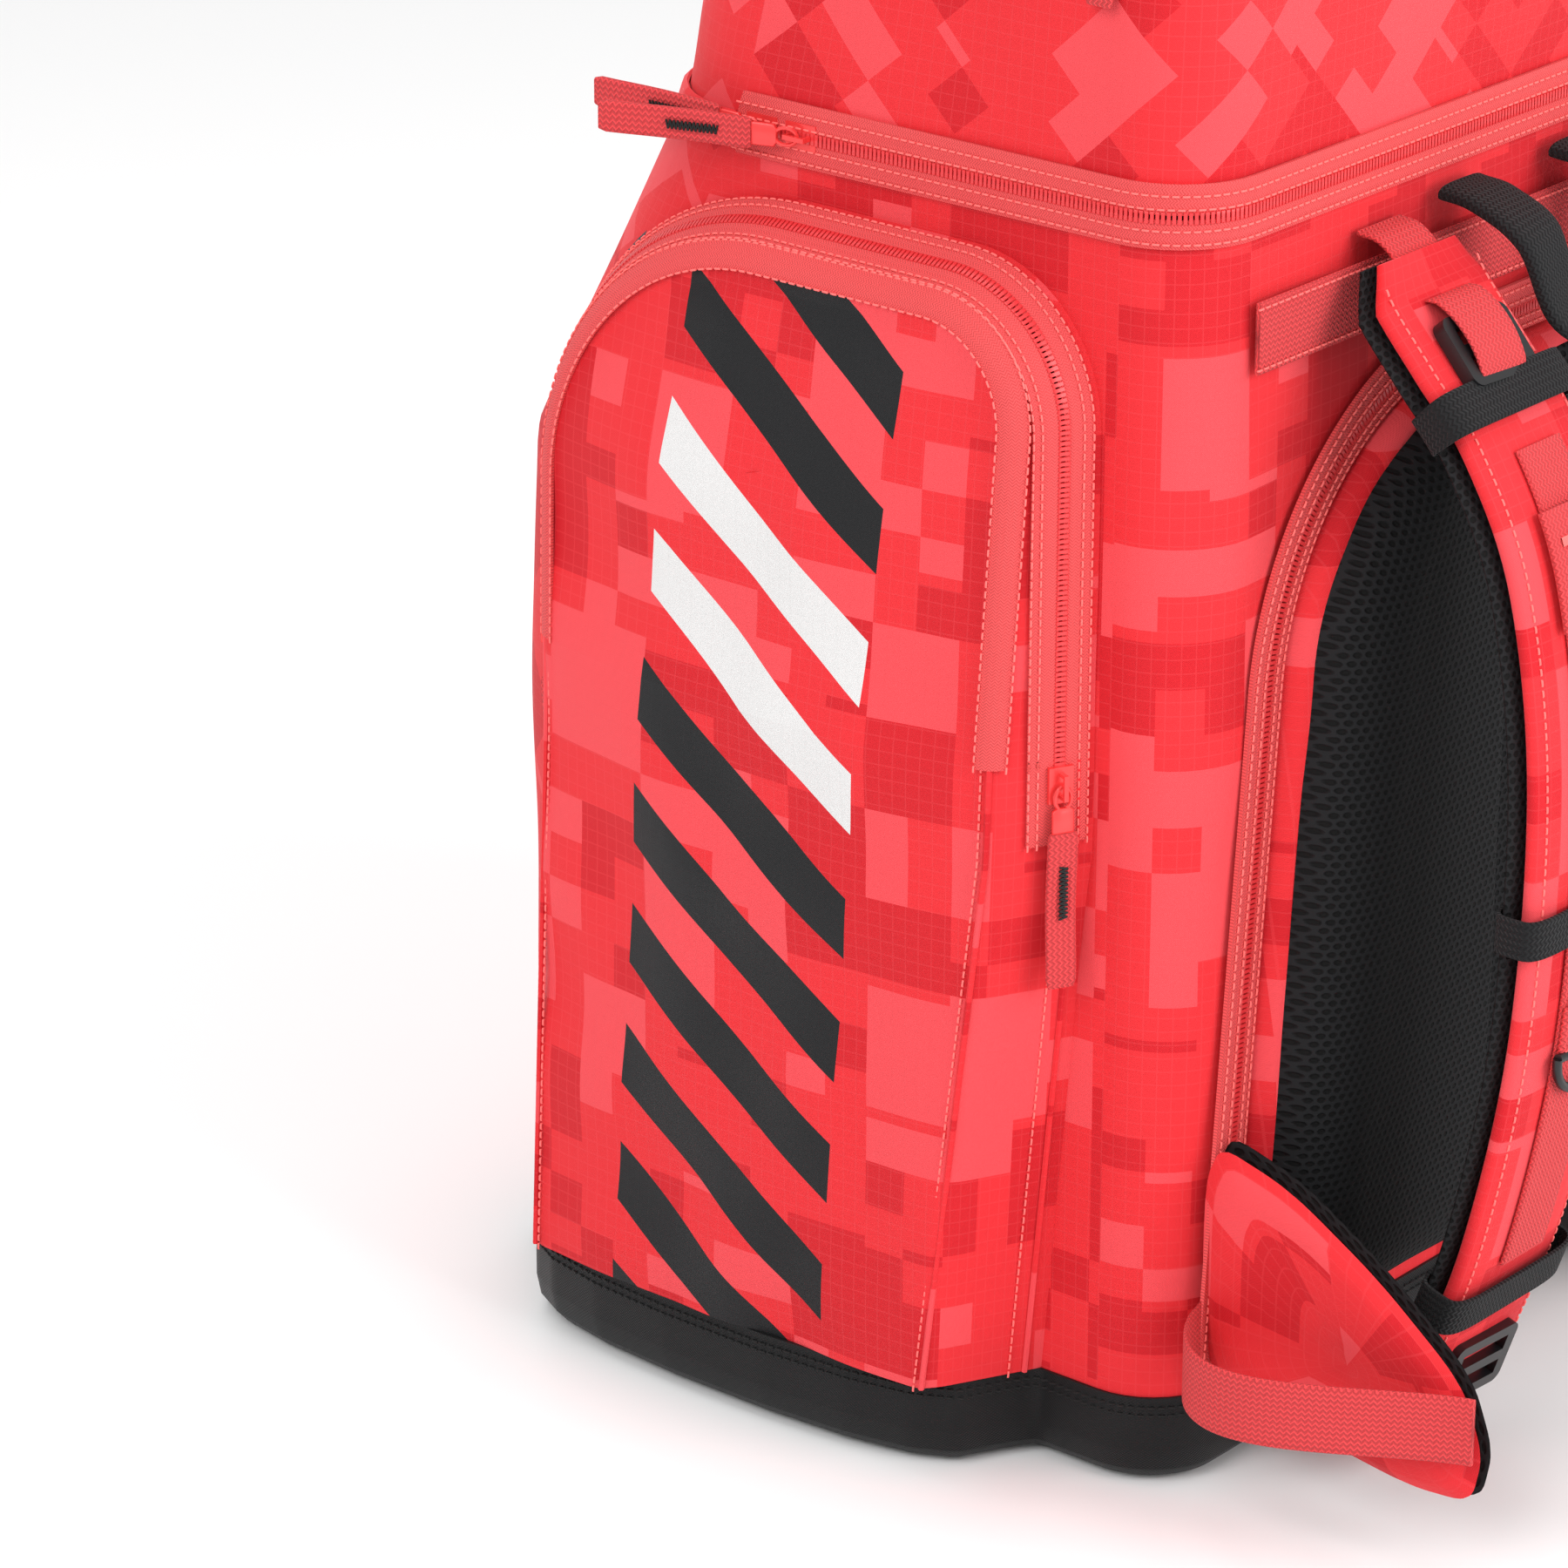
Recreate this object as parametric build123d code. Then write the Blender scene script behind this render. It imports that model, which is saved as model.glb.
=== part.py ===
from build123d import *
import math
import os

# Boot backpack, in millimetres.
# Origin: middle of the footprint, on the floor.  +Z up, -Y the side the wearer's back rests on, +Y the bag's front.
# Two boot pockets stand out on the left (-X) and right (+X) sides.

# ---- driving dimensions: main bag ----
half_width = 175.0
back_y = -150.0
front_y_base = 168.0
front_y_mid = 160.0
front_y_zip = 92.0
front_mid_z = 322.0
main_zip_z = 462.0
wall = 4.0
back_corner_r = 30.0
front_corner_r = 50.0
base_band_height = 34.0

# ---- helmet compartment and its cover ----
top_zip_z = 602.0
top_z = 658.0
front_y_top_zip = 58.0
front_y_top = 36.0
back_y_top = -132.0
lid_side_taper = 6.0
top_side_taper = 26.0
cover_strip = 14.0
lid_floor_lift = 7.0

# ---- boot pockets ----
pocket_back_y = -114.0
pocket_back_y_base = -92.0
pocket_front_y = 122.0
pocket_front_y_base = 130.0
pocket_top_z = 446.0
pocket_top_back_r = 54.0
pocket_top_front_r = 110.0
pocket_raise_top = 26.0
pocket_raise_hinge = 35.0
pocket_raise_base = 42.0
pocket_hinge_z = 270.0
pocket_loft_depth = 50.0
pocket_splay = 0.5
pocket_root = -20.0
slit_depth = 13.0
divider_x = 84.0
divider_top_z = 436.0

# ---- zips ----
slit = 1.6
tape_width = 9.5
tape_thickness = 1.0
zip_tail = 34.0
slider_width = 9.0
slider_length = 13.0
plate = 1.6
stem_thickness = 1.0
stem_length = 8.0
bail_height = 3.0
bail_reach = 3.4
bail_wire = 1.2
bail_width = 1.6
eye_bar = 1.1
pull_width = 8.0
pull_length = 21.0
pull_thickness = 1.5
tag_width = 11.0
tag_length = 52.0
tag_thickness = 2.4
main_zip_front_y = 30.0
main_slider_pitch = 17.0
second_pull_lift = 17.0
top_pull_lift = 3.0
top_slider_ys = (-112.0, -62.0)
top_zip_front_y = 0.0

# ---- back panel ----
board_thickness = 14.0
pad_thickness = 20.0
panel_half_width_base = 146.0
panel_half_width_top = 118.0
panel_low_z = 46.0
panel_top_z = 382.0
panel_corner_r = 90.0
panel_zip_slit = 8.0
back_slider_z = 244.0
channel_half_width = 20.0
channel_depth = 12.0

# ---- harness ----
strap_top_x = 76.0
strap_top_z = 430.0
strap_width = 62.0
strap_foam = 9.0
strap_lining = 4.0
strap_roll = 3.0
lining_overhang = 3.0
webbing_width = 25.0
webbing_thickness = 1.6
buckle_width = 37.0
buckle_length = 26.0
buckle_thickness = 5.0
buckle_bar = 4.5
keeper_width = 18.0
keeper_thickness = 1.2
keeper_gap = 0.8
keeper_zs = (372.0, 214.0, 76.0)
d_ring_radius = 14.0
d_ring_wire = 3.4
foot_z = 18.0
anchor_reach = 22.0
anchor_height = 12.0
foot_anchor_height = 6.0
tail_length = 40.0
ring_drop = 9.0
handle_half_span = 33.0
handle_drop = 44.0
handle_reach = 30.0
handle_section = 11.0
handle_z = 444.0
patch_thickness = 2.0
wing_length = 118.0
wing_height = 92.0
wing_low_z = 42.0
wing_thickness = 13.0
wing_lining = 4.0
wing_x = 150.0

# ---- clearances ----
fit = 0.3
BIG = 900.0

parts = {}


def box(low, high):
    """A block between two opposite corners."""
    size = [b - a for a, b in zip(low, high)]
    middle = [(a + b) / 2 for a, b in zip(low, high)]
    return Pos(*middle) * Box(*size)


def band(z0, z1):
    """Everything between two heights."""
    return box((-BIG, -BIG, z0), (BIG, BIG, z1))


def ring_section(z, half_x, y0, y1, back_r, front_r):
    """A horizontal outline with its own corner radius at the back and at the front."""
    outline = Polyline((-half_x, y0), (half_x, y0), (half_x, y1), (-half_x, y1), close=True)
    face = make_face(outline)
    rows = face.vertices().group_by(Axis.Y)
    face = fillet(rows[0], back_r)
    rows = face.vertices().group_by(Axis.Y)
    face = fillet(rows[-1], front_r)
    return Pos(0, 0, z) * face


def core(inset):
    """The main bag's form without its pockets, drawn in by inset on every side."""
    x = half_width - inset
    back = back_y + inset
    back_r = back_corner_r - inset
    front_r = front_corner_r - inset
    low = ring_section(0, x, back, front_y_base - inset, back_r, front_r)
    mid = ring_section(front_mid_z, x, back, front_y_mid - inset, back_r, front_r)
    high = ring_section(main_zip_z, x, back, front_y_zip - inset, back_r, front_r)
    return loft([low, mid], ruled=True) + loft([mid, high], ruled=True)


def lid_form(inset):
    """The helmet compartment, from the main zip up to the cover's zip."""
    x = half_width - inset
    back = back_y + inset
    back_r = back_corner_r - inset
    front_r = front_corner_r - inset
    low = ring_section(main_zip_z, x, back, front_y_zip - inset, back_r, front_r)
    high = ring_section(top_zip_z, x - lid_side_taper, back, front_y_top_zip - inset, back_r, front_r)
    return loft([low, high], ruled=True)


def cover_form(inset):
    """The domed cover above its zip."""
    x = half_width - lid_side_taper - inset
    back_r = back_corner_r - inset
    front_r = front_corner_r - inset
    back = back_y + inset
    front = front_y_top_zip - inset
    low = ring_section(top_zip_z, x, back, front, back_r, front_r)
    strip = ring_section(top_zip_z + cover_strip, x, back, front, back_r, front_r)
    high = ring_section(top_z - inset, x - top_side_taper, back_y_top + inset, front_y_top - inset, back_r, front_r)
    return loft([low, strip], ruled=True) + loft([strip, high], ruled=True)


# ---- boot pockets (drawn for the left side, at -X) ----

pocket_edge_length = math.hypot(1.0, pocket_splay)
pocket_edge_cos = 1.0 / pocket_edge_length
pocket_edge_sin = pocket_splay / pocket_edge_length


def arch_face(depth, grow):
    """The pocket's outline at a given depth outwards from the side wall, where its edges have closed in."""
    g = grow - depth * pocket_splay
    tail_z = pocket_hinge_z - zip_tail
    points = [
        (pocket_back_y_base - g, 0),
        (pocket_back_y - g, tail_z),
        (pocket_back_y - g, pocket_top_z + g),
        (pocket_front_y + g, pocket_top_z + g),
        (pocket_front_y + g, tail_z),
        (pocket_front_y_base + g, 0),
    ]
    face = make_face(Polyline(*points, close=True))
    tops = face.vertices().group_by(Axis.Y)[-1].sort_by(Axis.X)
    face = fillet(tops[1], pocket_top_front_r + g)
    back_corner = face.vertices().filter_by(lambda v: abs(v.Y - pocket_top_z - g) < 0.01).sort_by(Axis.X)[0]
    face = fillet(back_corner, pocket_top_back_r + g)
    return Plane(origin=(-half_width - depth, 0, 0), x_dir=(0, 1, 0), z_dir=(1, 0, 0)) * face


def arch_form(grow, start=0.0):
    """A block with sloped sides that follows the pocket's outline from depth start outwards."""
    return loft([arch_face(start, grow), arch_face(pocket_loft_depth, grow)], ruled=True)


def raise_slab(inset, start=0.0):
    """How far the pocket stands out at each height, as a block across the whole bag."""
    x0 = -half_width - start
    profile = Polyline(
        (x0, 0),
        (-half_width - pocket_raise_base + inset, 0),
        (-half_width - pocket_raise_hinge + inset, pocket_hinge_z),
        (-half_width - pocket_raise_top + inset, pocket_top_z + wall),
        (x0, pocket_top_z + wall),
        close=True,
    )
    side = make_face(Plane.XZ * profile)
    return extrude(side, amount=BIG / 2, both=True)


def depth_slab(d0, d1, z0, z1):
    """Everything between two depths outwards from the side wall and between two heights."""
    return box((-half_width - d1, -BIG, z0), (-half_width - d0, BIG, z1))


def pocket_forms():
    outer = arch_form(0.0, pocket_root) & raise_slab(0.0, pocket_root)
    inner = arch_form(-wall, pocket_root) & raise_slab(wall, pocket_root)
    return outer, inner


def zip_tape_solid(d0, d1, z0, z1):
    """A strip of zip tape lying on the pocket's sloped edge."""
    over = arch_form(tape_thickness / pocket_edge_cos)
    strip = over - arch_form(0.0)
    return strip & depth_slab(d0, d1, z0, z1)


# ---- zip sliders, drawn flat: X across the zip, Y along it, Z out of the bag ----

def slider_top():
    """The outer plate with the bail that holds the pull."""
    base_z = fit + plate
    body = box((-slider_width / 2, -slider_length / 2, fit), (slider_width / 2, slider_length / 2, base_z))
    half = bail_reach + bail_wire
    arch = box((-bail_width / 2, -half, base_z), (bail_width / 2, half, base_z + bail_height + bail_wire))
    hole = box((-bail_width, -bail_reach, base_z), (bail_width, bail_reach, base_z + bail_height))
    return body, arch - hole


def slider(wall_below, turned=False, skew=0.0):
    """Two plates joined by a thin stem in the slit, which may cross the cloth askew."""
    low = -wall_below - fit - plate
    body, bail = slider_top()
    middle = skew * low
    bottom = box(
        (middle - slider_width / 2, -slider_length / 2, low),
        (middle + slider_width / 2, slider_length / 2, low + plate),
    )
    half = stem_thickness / 2
    high = fit + plate
    side = make_face(Plane.XZ * Polyline(
        (middle - half, low),
        (middle + half, low),
        (skew * high + half, high),
        (skew * high - half, high),
        close=True,
    ))
    stem = extrude(side, amount=stem_length / 2, both=True)
    if turned:
        bail = Rot(0, 0, 90) * bail
    return body + bottom + stem + bail


pull_axis_z = fit + plate + bail_height / 2


def pull(lift=0.0, turned=False):
    """The pull with its eye round the bail and its webbing tag, lying along -Y from the hinge line."""
    thick = pull_thickness / 2
    plate_part = box((-pull_width / 2, -pull_length, -thick), (pull_width / 2, eye_bar / 2, thick))
    eye = box((-1.6, -bail_reach - bail_wire - 2.2, -2), (1.6, -eye_bar / 2, 2))
    neck_left = box((-pull_width, -7.5, -2), (-pull_width / 2 + 1.2, 2, 2))
    neck_right = box((pull_width / 2 - 1.2, -7.5, -2), (pull_width, 2, 2))
    metal = plate_part - eye - neck_left - neck_right
    tag = box((-tag_width / 2, -pull_length - tag_length, -tag_thickness / 2), (tag_width / 2, -pull_length, tag_thickness / 2))
    tag = fillet(tag.edges().filter_by(Axis.Z).group_by(Axis.Y)[0], 1.5)
    both = Compound(children=[metal, tag])
    both = Pos(0, 0, pull_axis_z) * Rot(-lift, 0, 0) * both
    if turned:
        both = Rot(0, 0, 90) * both
    return both


def place(origin, across, out):
    return Plane(origin=origin, x_dir=across, z_dir=out)


def mirrored(shape):
    return mirror(shape, about=Plane.YZ)


def build_main_bag():
    shell = core(0.0) - core(wall)
    outer, inner = pocket_forms()
    sides_outer = core(0.0) + outer + mirrored(outer)
    sides_inner = core(wall) + inner + mirrored(inner)

    # Black base: the floor and a low band round the bag and its pockets.
    tub = sides_outer & band(0, base_band_height)
    tub_hollow = sides_inner & band(wall, base_band_height)
    parts["base_tub"] = tub - tub_hollow

    upper = shell & band(base_band_height, main_zip_z - slit / 2)
    upper = upper - inner - mirrored(inner)
    front_zone = box((-BIG, front_y_zip - front_corner_r, 0), (BIG, BIG, BIG))
    back_zone = box((-half_width + back_corner_r, -BIG, 0), (half_width - back_corner_r, 0, BIG))
    left_zone = box((-BIG, -BIG, 0), (0, BIG, BIG))
    parts["front_panel"] = upper & front_zone
    parts["back_wall"] = (upper - front_zone) & back_zone
    sides = upper - front_zone - back_zone
    parts["side_wall_left"] = sides & left_zone
    parts["side_wall_right"] = mirrored(parts["side_wall_left"])

    # Dividers between each boot compartment and the middle.
    room = core(wall + fit) & band(wall + fit, divider_top_z)
    slab = box((-divider_x - 3, -BIG, 0), (-divider_x, BIG, BIG))
    divider = room & slab
    parts["boot_dividers"] = Compound(children=[divider, mirrored(divider)])

    # Fixed lower pocket with the slim lip that carries the body half of the zip.
    pocket = (outer - inner - core(0.0)) & band(base_band_height, pocket_top_z)
    low_part = pocket & depth_slab(pocket_root, BIG / 2, 0, pocket_hinge_z - fit / 2)
    lip = pocket & depth_slab(pocket_root, slit_depth - slit / 2, 0, pocket_top_z)
    zip_cut = depth_slab(slit_depth - slit / 2, slit_depth + slit / 2, pocket_hinge_z - zip_tail, pocket_hinge_z)
    parts["pocket_shell_left"] = (low_part + lip) - zip_cut
    parts["pocket_shell_right"] = mirrored(parts["pocket_shell_left"])
    door = pocket & depth_slab(slit_depth + slit / 2, BIG / 2, pocket_hinge_z + fit / 2, pocket_top_z + wall)
    parts["pocket_door_left"] = door
    parts["pocket_door_right"] = mirrored(door)


def build_pocket_zips():
    sloped = tape_width * pocket_edge_cos
    near = slit_depth - slit / 2
    far = slit_depth + slit / 2
    body_tape = zip_tape_solid(near - sloped, near, pocket_hinge_z - zip_tail, BIG)
    tail_tape = zip_tape_solid(far, far + sloped, pocket_hinge_z - zip_tail, pocket_hinge_z - slit / 2)
    body_solids = body_tape.solids() + tail_tape.solids()
    left_tapes = Compound(children=list(body_solids))
    parts["pocket_zip_body_tapes"] = Compound(children=[left_tapes, mirrored(left_tapes)])
    door_tape = zip_tape_solid(far, far + sloped, pocket_hinge_z + slit / 2, BIG)
    parts["pocket_zip_door_tape_left"] = door_tape
    parts["pocket_zip_door_tape_right"] = mirrored(door_tape)

    below = wall / pocket_edge_length + tape_thickness
    rest_z = pocket_hinge_z - slit / 2 - fit - slider_length / 2
    slit_x = -half_width - slit_depth
    for name, edge_y, sign in (("back", pocket_back_y, -1), ("front", pocket_front_y, 1)):
        y = edge_y - sign * slit_depth * pocket_splay + sign * tape_thickness * pocket_edge_length
        across = (-sign * pocket_edge_cos, -pocket_edge_sin, 0)
        out = (-pocket_edge_sin, sign * pocket_edge_cos, 0)
        plane = place((slit_x, y, rest_z), across, out)
        parts[f"pocket_slider_{name}_left"] = plane * slider(below, skew=-sign * pocket_splay)
        parts[f"pocket_pull_{name}_left"] = plane * pull()
        parts[f"pocket_slider_{name}_right"] = mirrored(parts[f"pocket_slider_{name}_left"])
        parts[f"pocket_pull_{name}_right"] = mirrored(parts[f"pocket_pull_{name}_left"])


def belt_tape(form, z0, z1, front_y):
    """A strip of tape round the back and sides of a form, stopping at front_y on both sides."""
    strip = (form(-tape_thickness) - form(0.0)) & band(z0, z1)
    return strip & box((-BIG, -BIG, 0), (BIG, front_y, BIG))


def build_lid():
    z0 = main_zip_z + slit / 2
    z1 = top_zip_z - slit / 2
    parts["lid_shell"] = (lid_form(0.0) - lid_form(wall)) & band(z0, z1)
    parts["lid_floor"] = lid_form(wall) & band(z0 + lid_floor_lift, z0 + lid_floor_lift + wall / 2)
    cover = cover_form(0.0) - cover_form(wall)
    parts["top_cover"] = cover & band(top_zip_z + slit / 2, top_z)

    low = main_zip_z - slit / 2
    tape_front_y = main_zip_front_y + slider_length
    parts["main_zip_lower_tape"] = belt_tape(core, low - tape_width, low, tape_front_y)
    upper_tape = belt_tape(lid_form, z0, z0 + tape_width, tape_front_y)
    cover_tape = belt_tape(lid_form, z1 - tape_width, z1, top_zip_front_y)
    parts["lid_zip_tapes"] = Compound(children=[upper_tape, cover_tape])
    z2 = top_zip_z + slit / 2
    parts["cover_zip_tape"] = belt_tape(cover_form, z2, z2 + tape_width, top_zip_front_y)

    # Two main sliders side by side at the zip's front end on the left.
    below = wall + tape_thickness + fit
    x = -half_width - tape_thickness
    for index, lift in enumerate((0.0, second_pull_lift)):
        y = main_zip_front_y - index * main_slider_pitch
        plane = place((x, y, main_zip_z), (0, 0, -1), (-1, 0, 0))
        parts[f"main_slider_{index + 1}"] = plane * slider(below)
        parts[f"main_pull_{index + 1}"] = plane * pull(lift)

    # Two sliders of the cover's zip, whose pulls hang straight down.
    x = -half_width + lid_side_taper - tape_thickness
    for index, y in enumerate(top_slider_ys):
        plane = place((x, y, top_zip_z), (0, 0, -1), (-1, 0, 0))
        parts[f"top_slider_{index + 1}"] = plane * slider(below, turned=True)
        parts[f"top_pull_{index + 1}"] = plane * pull(top_pull_lift, turned=True)


# ---- back panel ----

def panel_face(grow):
    """The back panel's outline, an arch that widens towards its foot."""
    points = [
        (-panel_half_width_base - grow, panel_low_z),
        (panel_half_width_base + grow, panel_low_z),
        (panel_half_width_top + grow, panel_top_z + grow),
        (-panel_half_width_top - grow, panel_top_z + grow),
    ]
    face = make_face(Polyline(*points, close=True))
    face = fillet(face.vertices().group_by(Axis.Y)[-1], panel_corner_r + grow)
    return Plane(origin=(0, back_y, 0), x_dir=(1, 0, 0), z_dir=(0, -1, 0)) * face


def build_back_panel():
    parts["back_board"] = extrude(panel_face(0.0), amount=board_thickness)
    pad_block = extrude(panel_face(-6.0), amount=board_thickness + pad_thickness)
    pad_block = pad_block & box((-BIG, back_y - board_thickness - pad_thickness, 0), (BIG, back_y - board_thickness, BIG))
    channel = box((-channel_half_width, -BIG, 0), (channel_half_width, BIG, BIG))
    left = (pad_block - channel) & box((-BIG, -BIG, 0), (0, BIG, BIG))
    middle = pad_block & channel & box((-BIG, back_y - board_thickness - channel_depth, 0), (BIG, BIG, BIG))
    parts["back_mesh"] = Compound(children=[left, middle, mirrored(left)])
    inner_edge = panel_zip_slit - slit / 2
    outer_edge = panel_zip_slit + slit / 2
    outer_tape = extrude(panel_face(outer_edge + tape_width) - panel_face(outer_edge), amount=tape_thickness)
    inner_tape = extrude(panel_face(inner_edge) - panel_face(0.0), amount=tape_thickness)
    keep = band(panel_low_z + 1, BIG)
    parts["back_zip_tapes"] = Compound(children=[outer_tape & keep, inner_tape & keep])

    # Slider parked low on the right run, its pull hanging down.
    lean = math.atan2(panel_half_width_base - panel_half_width_top, panel_top_z - panel_low_z)
    x = panel_half_width_base + panel_zip_slit - math.tan(lean) * (back_slider_z - panel_low_z)
    plane = place((x, back_y - tape_thickness, back_slider_z), (1, 0, 0), (0, -1, 0))
    tilt = Rot(0, 0, math.degrees(lean))
    body, bail = slider_top()
    parts["back_zip_slider"] = plane * tilt * (body + bail)
    parts["back_zip_pull"] = plane * tilt * pull()


# ---- harness (left side) ----

strap_line = [
    (-160, strap_top_z),
    (-168, strap_top_z - 14),
    (-186, 396),
    (-206, 374),
    (-226, 335),
    (-238, 270),
    (-238, 184),
    (-226, 108),
    (-208, 52),
    (-200, 28),
]


def offset_line(points, amount):
    """The same line moved sideways; positive is away from the bag."""
    moved = []
    for i, (y, z) in enumerate(points):
        a = points[max(i - 1, 0)]
        b = points[min(i + 1, len(points) - 1)]
        length = math.hypot(b[0] - a[0], b[1] - a[1])
        ny = (b[1] - a[1]) / length
        nz = -(b[0] - a[0]) / length
        moved.append((y + ny * amount, z + nz * amount))
    return moved


def ribbon(points, near, far, width, x_mid=0.0):
    """A band of cloth between two offsets of a side-view line."""
    inner = [(0, y, z) for y, z in offset_line(points, near)]
    outer = [(0, y, z) for y, z in offset_line(points, far)]
    edges = [Spline(*inner), Line(inner[-1], outer[-1]), Spline(*reversed(outer)), Line(outer[0], inner[0])]
    face = make_face(edges)
    return Pos(x_mid, 0, 0) * extrude(face, amount=width / 2, both=True)


def lean_strap(shape):
    """Lets the strap run outwards towards its foot."""
    top = Pos(-strap_top_x, 0, strap_line[0][1])
    return top * Rot(0, strap_roll, 0) * Pos(0, 0, -strap_line[0][1]) * shape


def ladder_lock(width=buckle_width):
    """A flat frame with two slots for webbing, drawn flat about its middle."""
    frame = Box(width, buckle_length, buckle_thickness)
    frame = fillet(frame.edges().filter_by(Axis.Z), 4)
    slot_w = webbing_width + 2
    slot_l = (buckle_length - 3 * buckle_bar) / 2
    shift = (slot_l + buckle_bar) / 2
    slot = Box(slot_w, slot_l, 2 * buckle_thickness)
    return frame - Pos(0, shift, 0) * slot - Pos(0, -shift, 0) * slot


def facing(index, out_by, points=strap_line):
    """A frame on the strap's outer face at one of its points: Y along the strap, Z out of it."""
    y, z = offset_line(points, out_by)[index]
    a = points[max(index - 1, 0)]
    b = points[min(index + 1, len(points) - 1)]
    length = math.hypot(b[0] - a[0], b[1] - a[1])
    out = (0, (b[1] - a[1]) / length, -(b[0] - a[0]) / length)
    return Plane(origin=(0, y, z), x_dir=(1, 0, 0), z_dir=out)


ring_height = strap_foam + strap_lining + 6.4


def build_strap():
    half = strap_foam + strap_lining
    pad = ribbon(strap_line, strap_lining, half, strap_width)
    lining = ribbon(strap_line, 0, strap_lining, strap_width + 2 * lining_overhang)
    web_gap = 0.4
    runner = ribbon(strap_line, half + web_gap, half + web_gap + webbing_thickness, webbing_width)
    runner = runner & band(keeper_zs[2] + keeper_width, keeper_zs[0])
    tail = facing(4, half + web_gap + webbing_thickness) * (Pos(0, 0, 1.4) * Box(webbing_width + 9, tail_length, 2.4))
    tab = facing(6, half + web_gap + webbing_thickness) * (Pos(0, 0, 1.2) * Box(webbing_width, 20, 2.0))
    foot_far_y = strap_line[-1][0]
    foot = box((-webbing_width / 2, foot_far_y, foot_z), (webbing_width / 2, back_y - 5, foot_z + webbing_thickness))
    loose = ribbon(strap_line, -keeper_gap, half + webbing_thickness + keeper_gap, strap_width + 2 * lining_overhang + 2 * keeper_gap)
    rim = keeper_gap + keeper_thickness
    tight = ribbon(strap_line, -rim, half + webbing_thickness + rim, strap_width + 2 * lining_overhang + 2 * rim)
    tube = tight - loose
    keeper_solids = [tube & band(z, z + keeper_width) for z in keeper_zs]
    buckle_top = facing(2, half + fit + buckle_thickness / 2 + 1) * ladder_lock()
    buckle_foot = facing(8, half + 2 * fit + buckle_thickness / 2) * ladder_lock()
    ring_frame = facing(6, ring_height)
    arc = ring_frame * Pos(0, -ring_drop, 0) * (Torus(d_ring_radius, d_ring_wire / 2) & Pos(0, -BIG / 2, 0) * Box(BIG, BIG, BIG))
    bar = ring_frame * Pos(0, -ring_drop, 0) * Rot(0, 90, 0) * Cylinder(d_ring_wire / 2, 2 * d_ring_radius)
    pieces = {
        "strap_pad": pad,
        "strap_lining": lining,
        "strap_webbing": Compound(children=[runner, tail, tab, foot]),
        "strap_keepers": Compound(children=keeper_solids),
        "strap_buckles": Compound(children=[buckle_top, buckle_foot]),
        "d_ring": arc + bar,
    }
    head_anchor = box((-webbing_width / 2, -anchor_reach, 0), (webbing_width / 2, 0, anchor_height))
    head_anchor = Pos(-strap_top_x, back_y, strap_top_z + fit) * head_anchor
    foot_x = -strap_top_x - math.tan(math.radians(strap_roll)) * (strap_top_z - foot_z)
    foot_anchor = box((-webbing_width / 2, -anchor_reach, -foot_anchor_height), (webbing_width / 2, 0, 0))
    foot_anchor = Pos(foot_x, back_y, foot_z - 3 * fit) * foot_anchor
    anchors = Compound(children=[head_anchor, foot_anchor])
    reach = half_width - back_corner_r
    low = (-reach, back_y - patch_thickness, strap_top_z - webbing_width)
    high = (reach, back_y, strap_top_z)
    parts["back_webbing"] = Compound(children=[box(low, high), anchors, mirrored(anchors)])
    for name, shape in pieces.items():
        leaned = lean_strap(shape)
        if name in ("strap_pad", "strap_lining"):
            leaned = leaned & band(0, strap_top_z)
        parts[f"{name}_left"] = leaned
        parts[f"{name}_right"] = mirrored(leaned)


def build_handle():
    """A padded loop from two points on the back, hanging and standing a little proud."""
    half = handle_section / 2
    y0 = back_y - fit - half
    path = FilletPolyline(
        (-handle_half_span, y0, handle_z),
        (-handle_half_span, y0 - handle_reach, handle_z),
        (-handle_half_span + 8, y0 - handle_reach - 8, handle_z - handle_drop),
        (handle_half_span - 8, y0 - handle_reach - 8, handle_z - handle_drop),
        (handle_half_span, y0 - handle_reach, handle_z),
        (handle_half_span, y0, handle_z),
        radius=9,
    )
    section = Plane(origin=path @ 0, z_dir=path % 0) * Circle(half)
    knuckle = Pos(-handle_half_span, y0, handle_z) * Sphere(half)
    parts["haul_handle"] = sweep(section, path=path) + knuckle + mirrored(knuckle)


def build_wing():
    """The hip wing reaches back from the bag's lower corner, with a mesh lining on its inner face."""
    y0 = back_y - tape_thickness - 2 * fit
    y1 = y0 - wing_length
    outline = make_face(Plane.YZ * Polyline(
        (y0, wing_low_z),
        (y0, wing_low_z + wing_height),
        (y0 - wing_length * 0.55, wing_low_z + wing_height * 0.72),
        (y1, wing_low_z + wing_height * 0.34),
        (y1, wing_low_z - 14),
        (y0 - wing_length * 0.5, wing_low_z - 8),
        close=True,
    ))
    outer = Pos(-wing_x - wing_thickness, 0, 0) * extrude(outline, amount=wing_thickness - wing_lining, dir=(1, 0, 0))
    lining = Pos(-wing_x - wing_lining, 0, 0) * extrude(outline, amount=wing_lining, dir=(1, 0, 0))
    web_y = y0 - wing_length
    web_z = wing_low_z + 8
    webbing = box((-wing_x - wing_thickness - 2, web_y, web_z), (-wing_x - wing_thickness, y0 - 4, web_z + webbing_width))
    for name, shape in (("hip_wing", outer), ("hip_wing_lining", lining), ("hip_webbing", webbing)):
        parts[f"{name}_left"] = shape
        parts[f"{name}_right"] = mirrored(shape)


build_main_bag()
build_pocket_zips()
build_lid()
build_back_panel()
build_strap()
build_handle()
build_wing()

os.makedirs("parts", exist_ok=True)
for part_name, shape in parts.items():
    export_step(shape, f"parts/{part_name}.step")
print(len(parts), "parts written")
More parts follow.
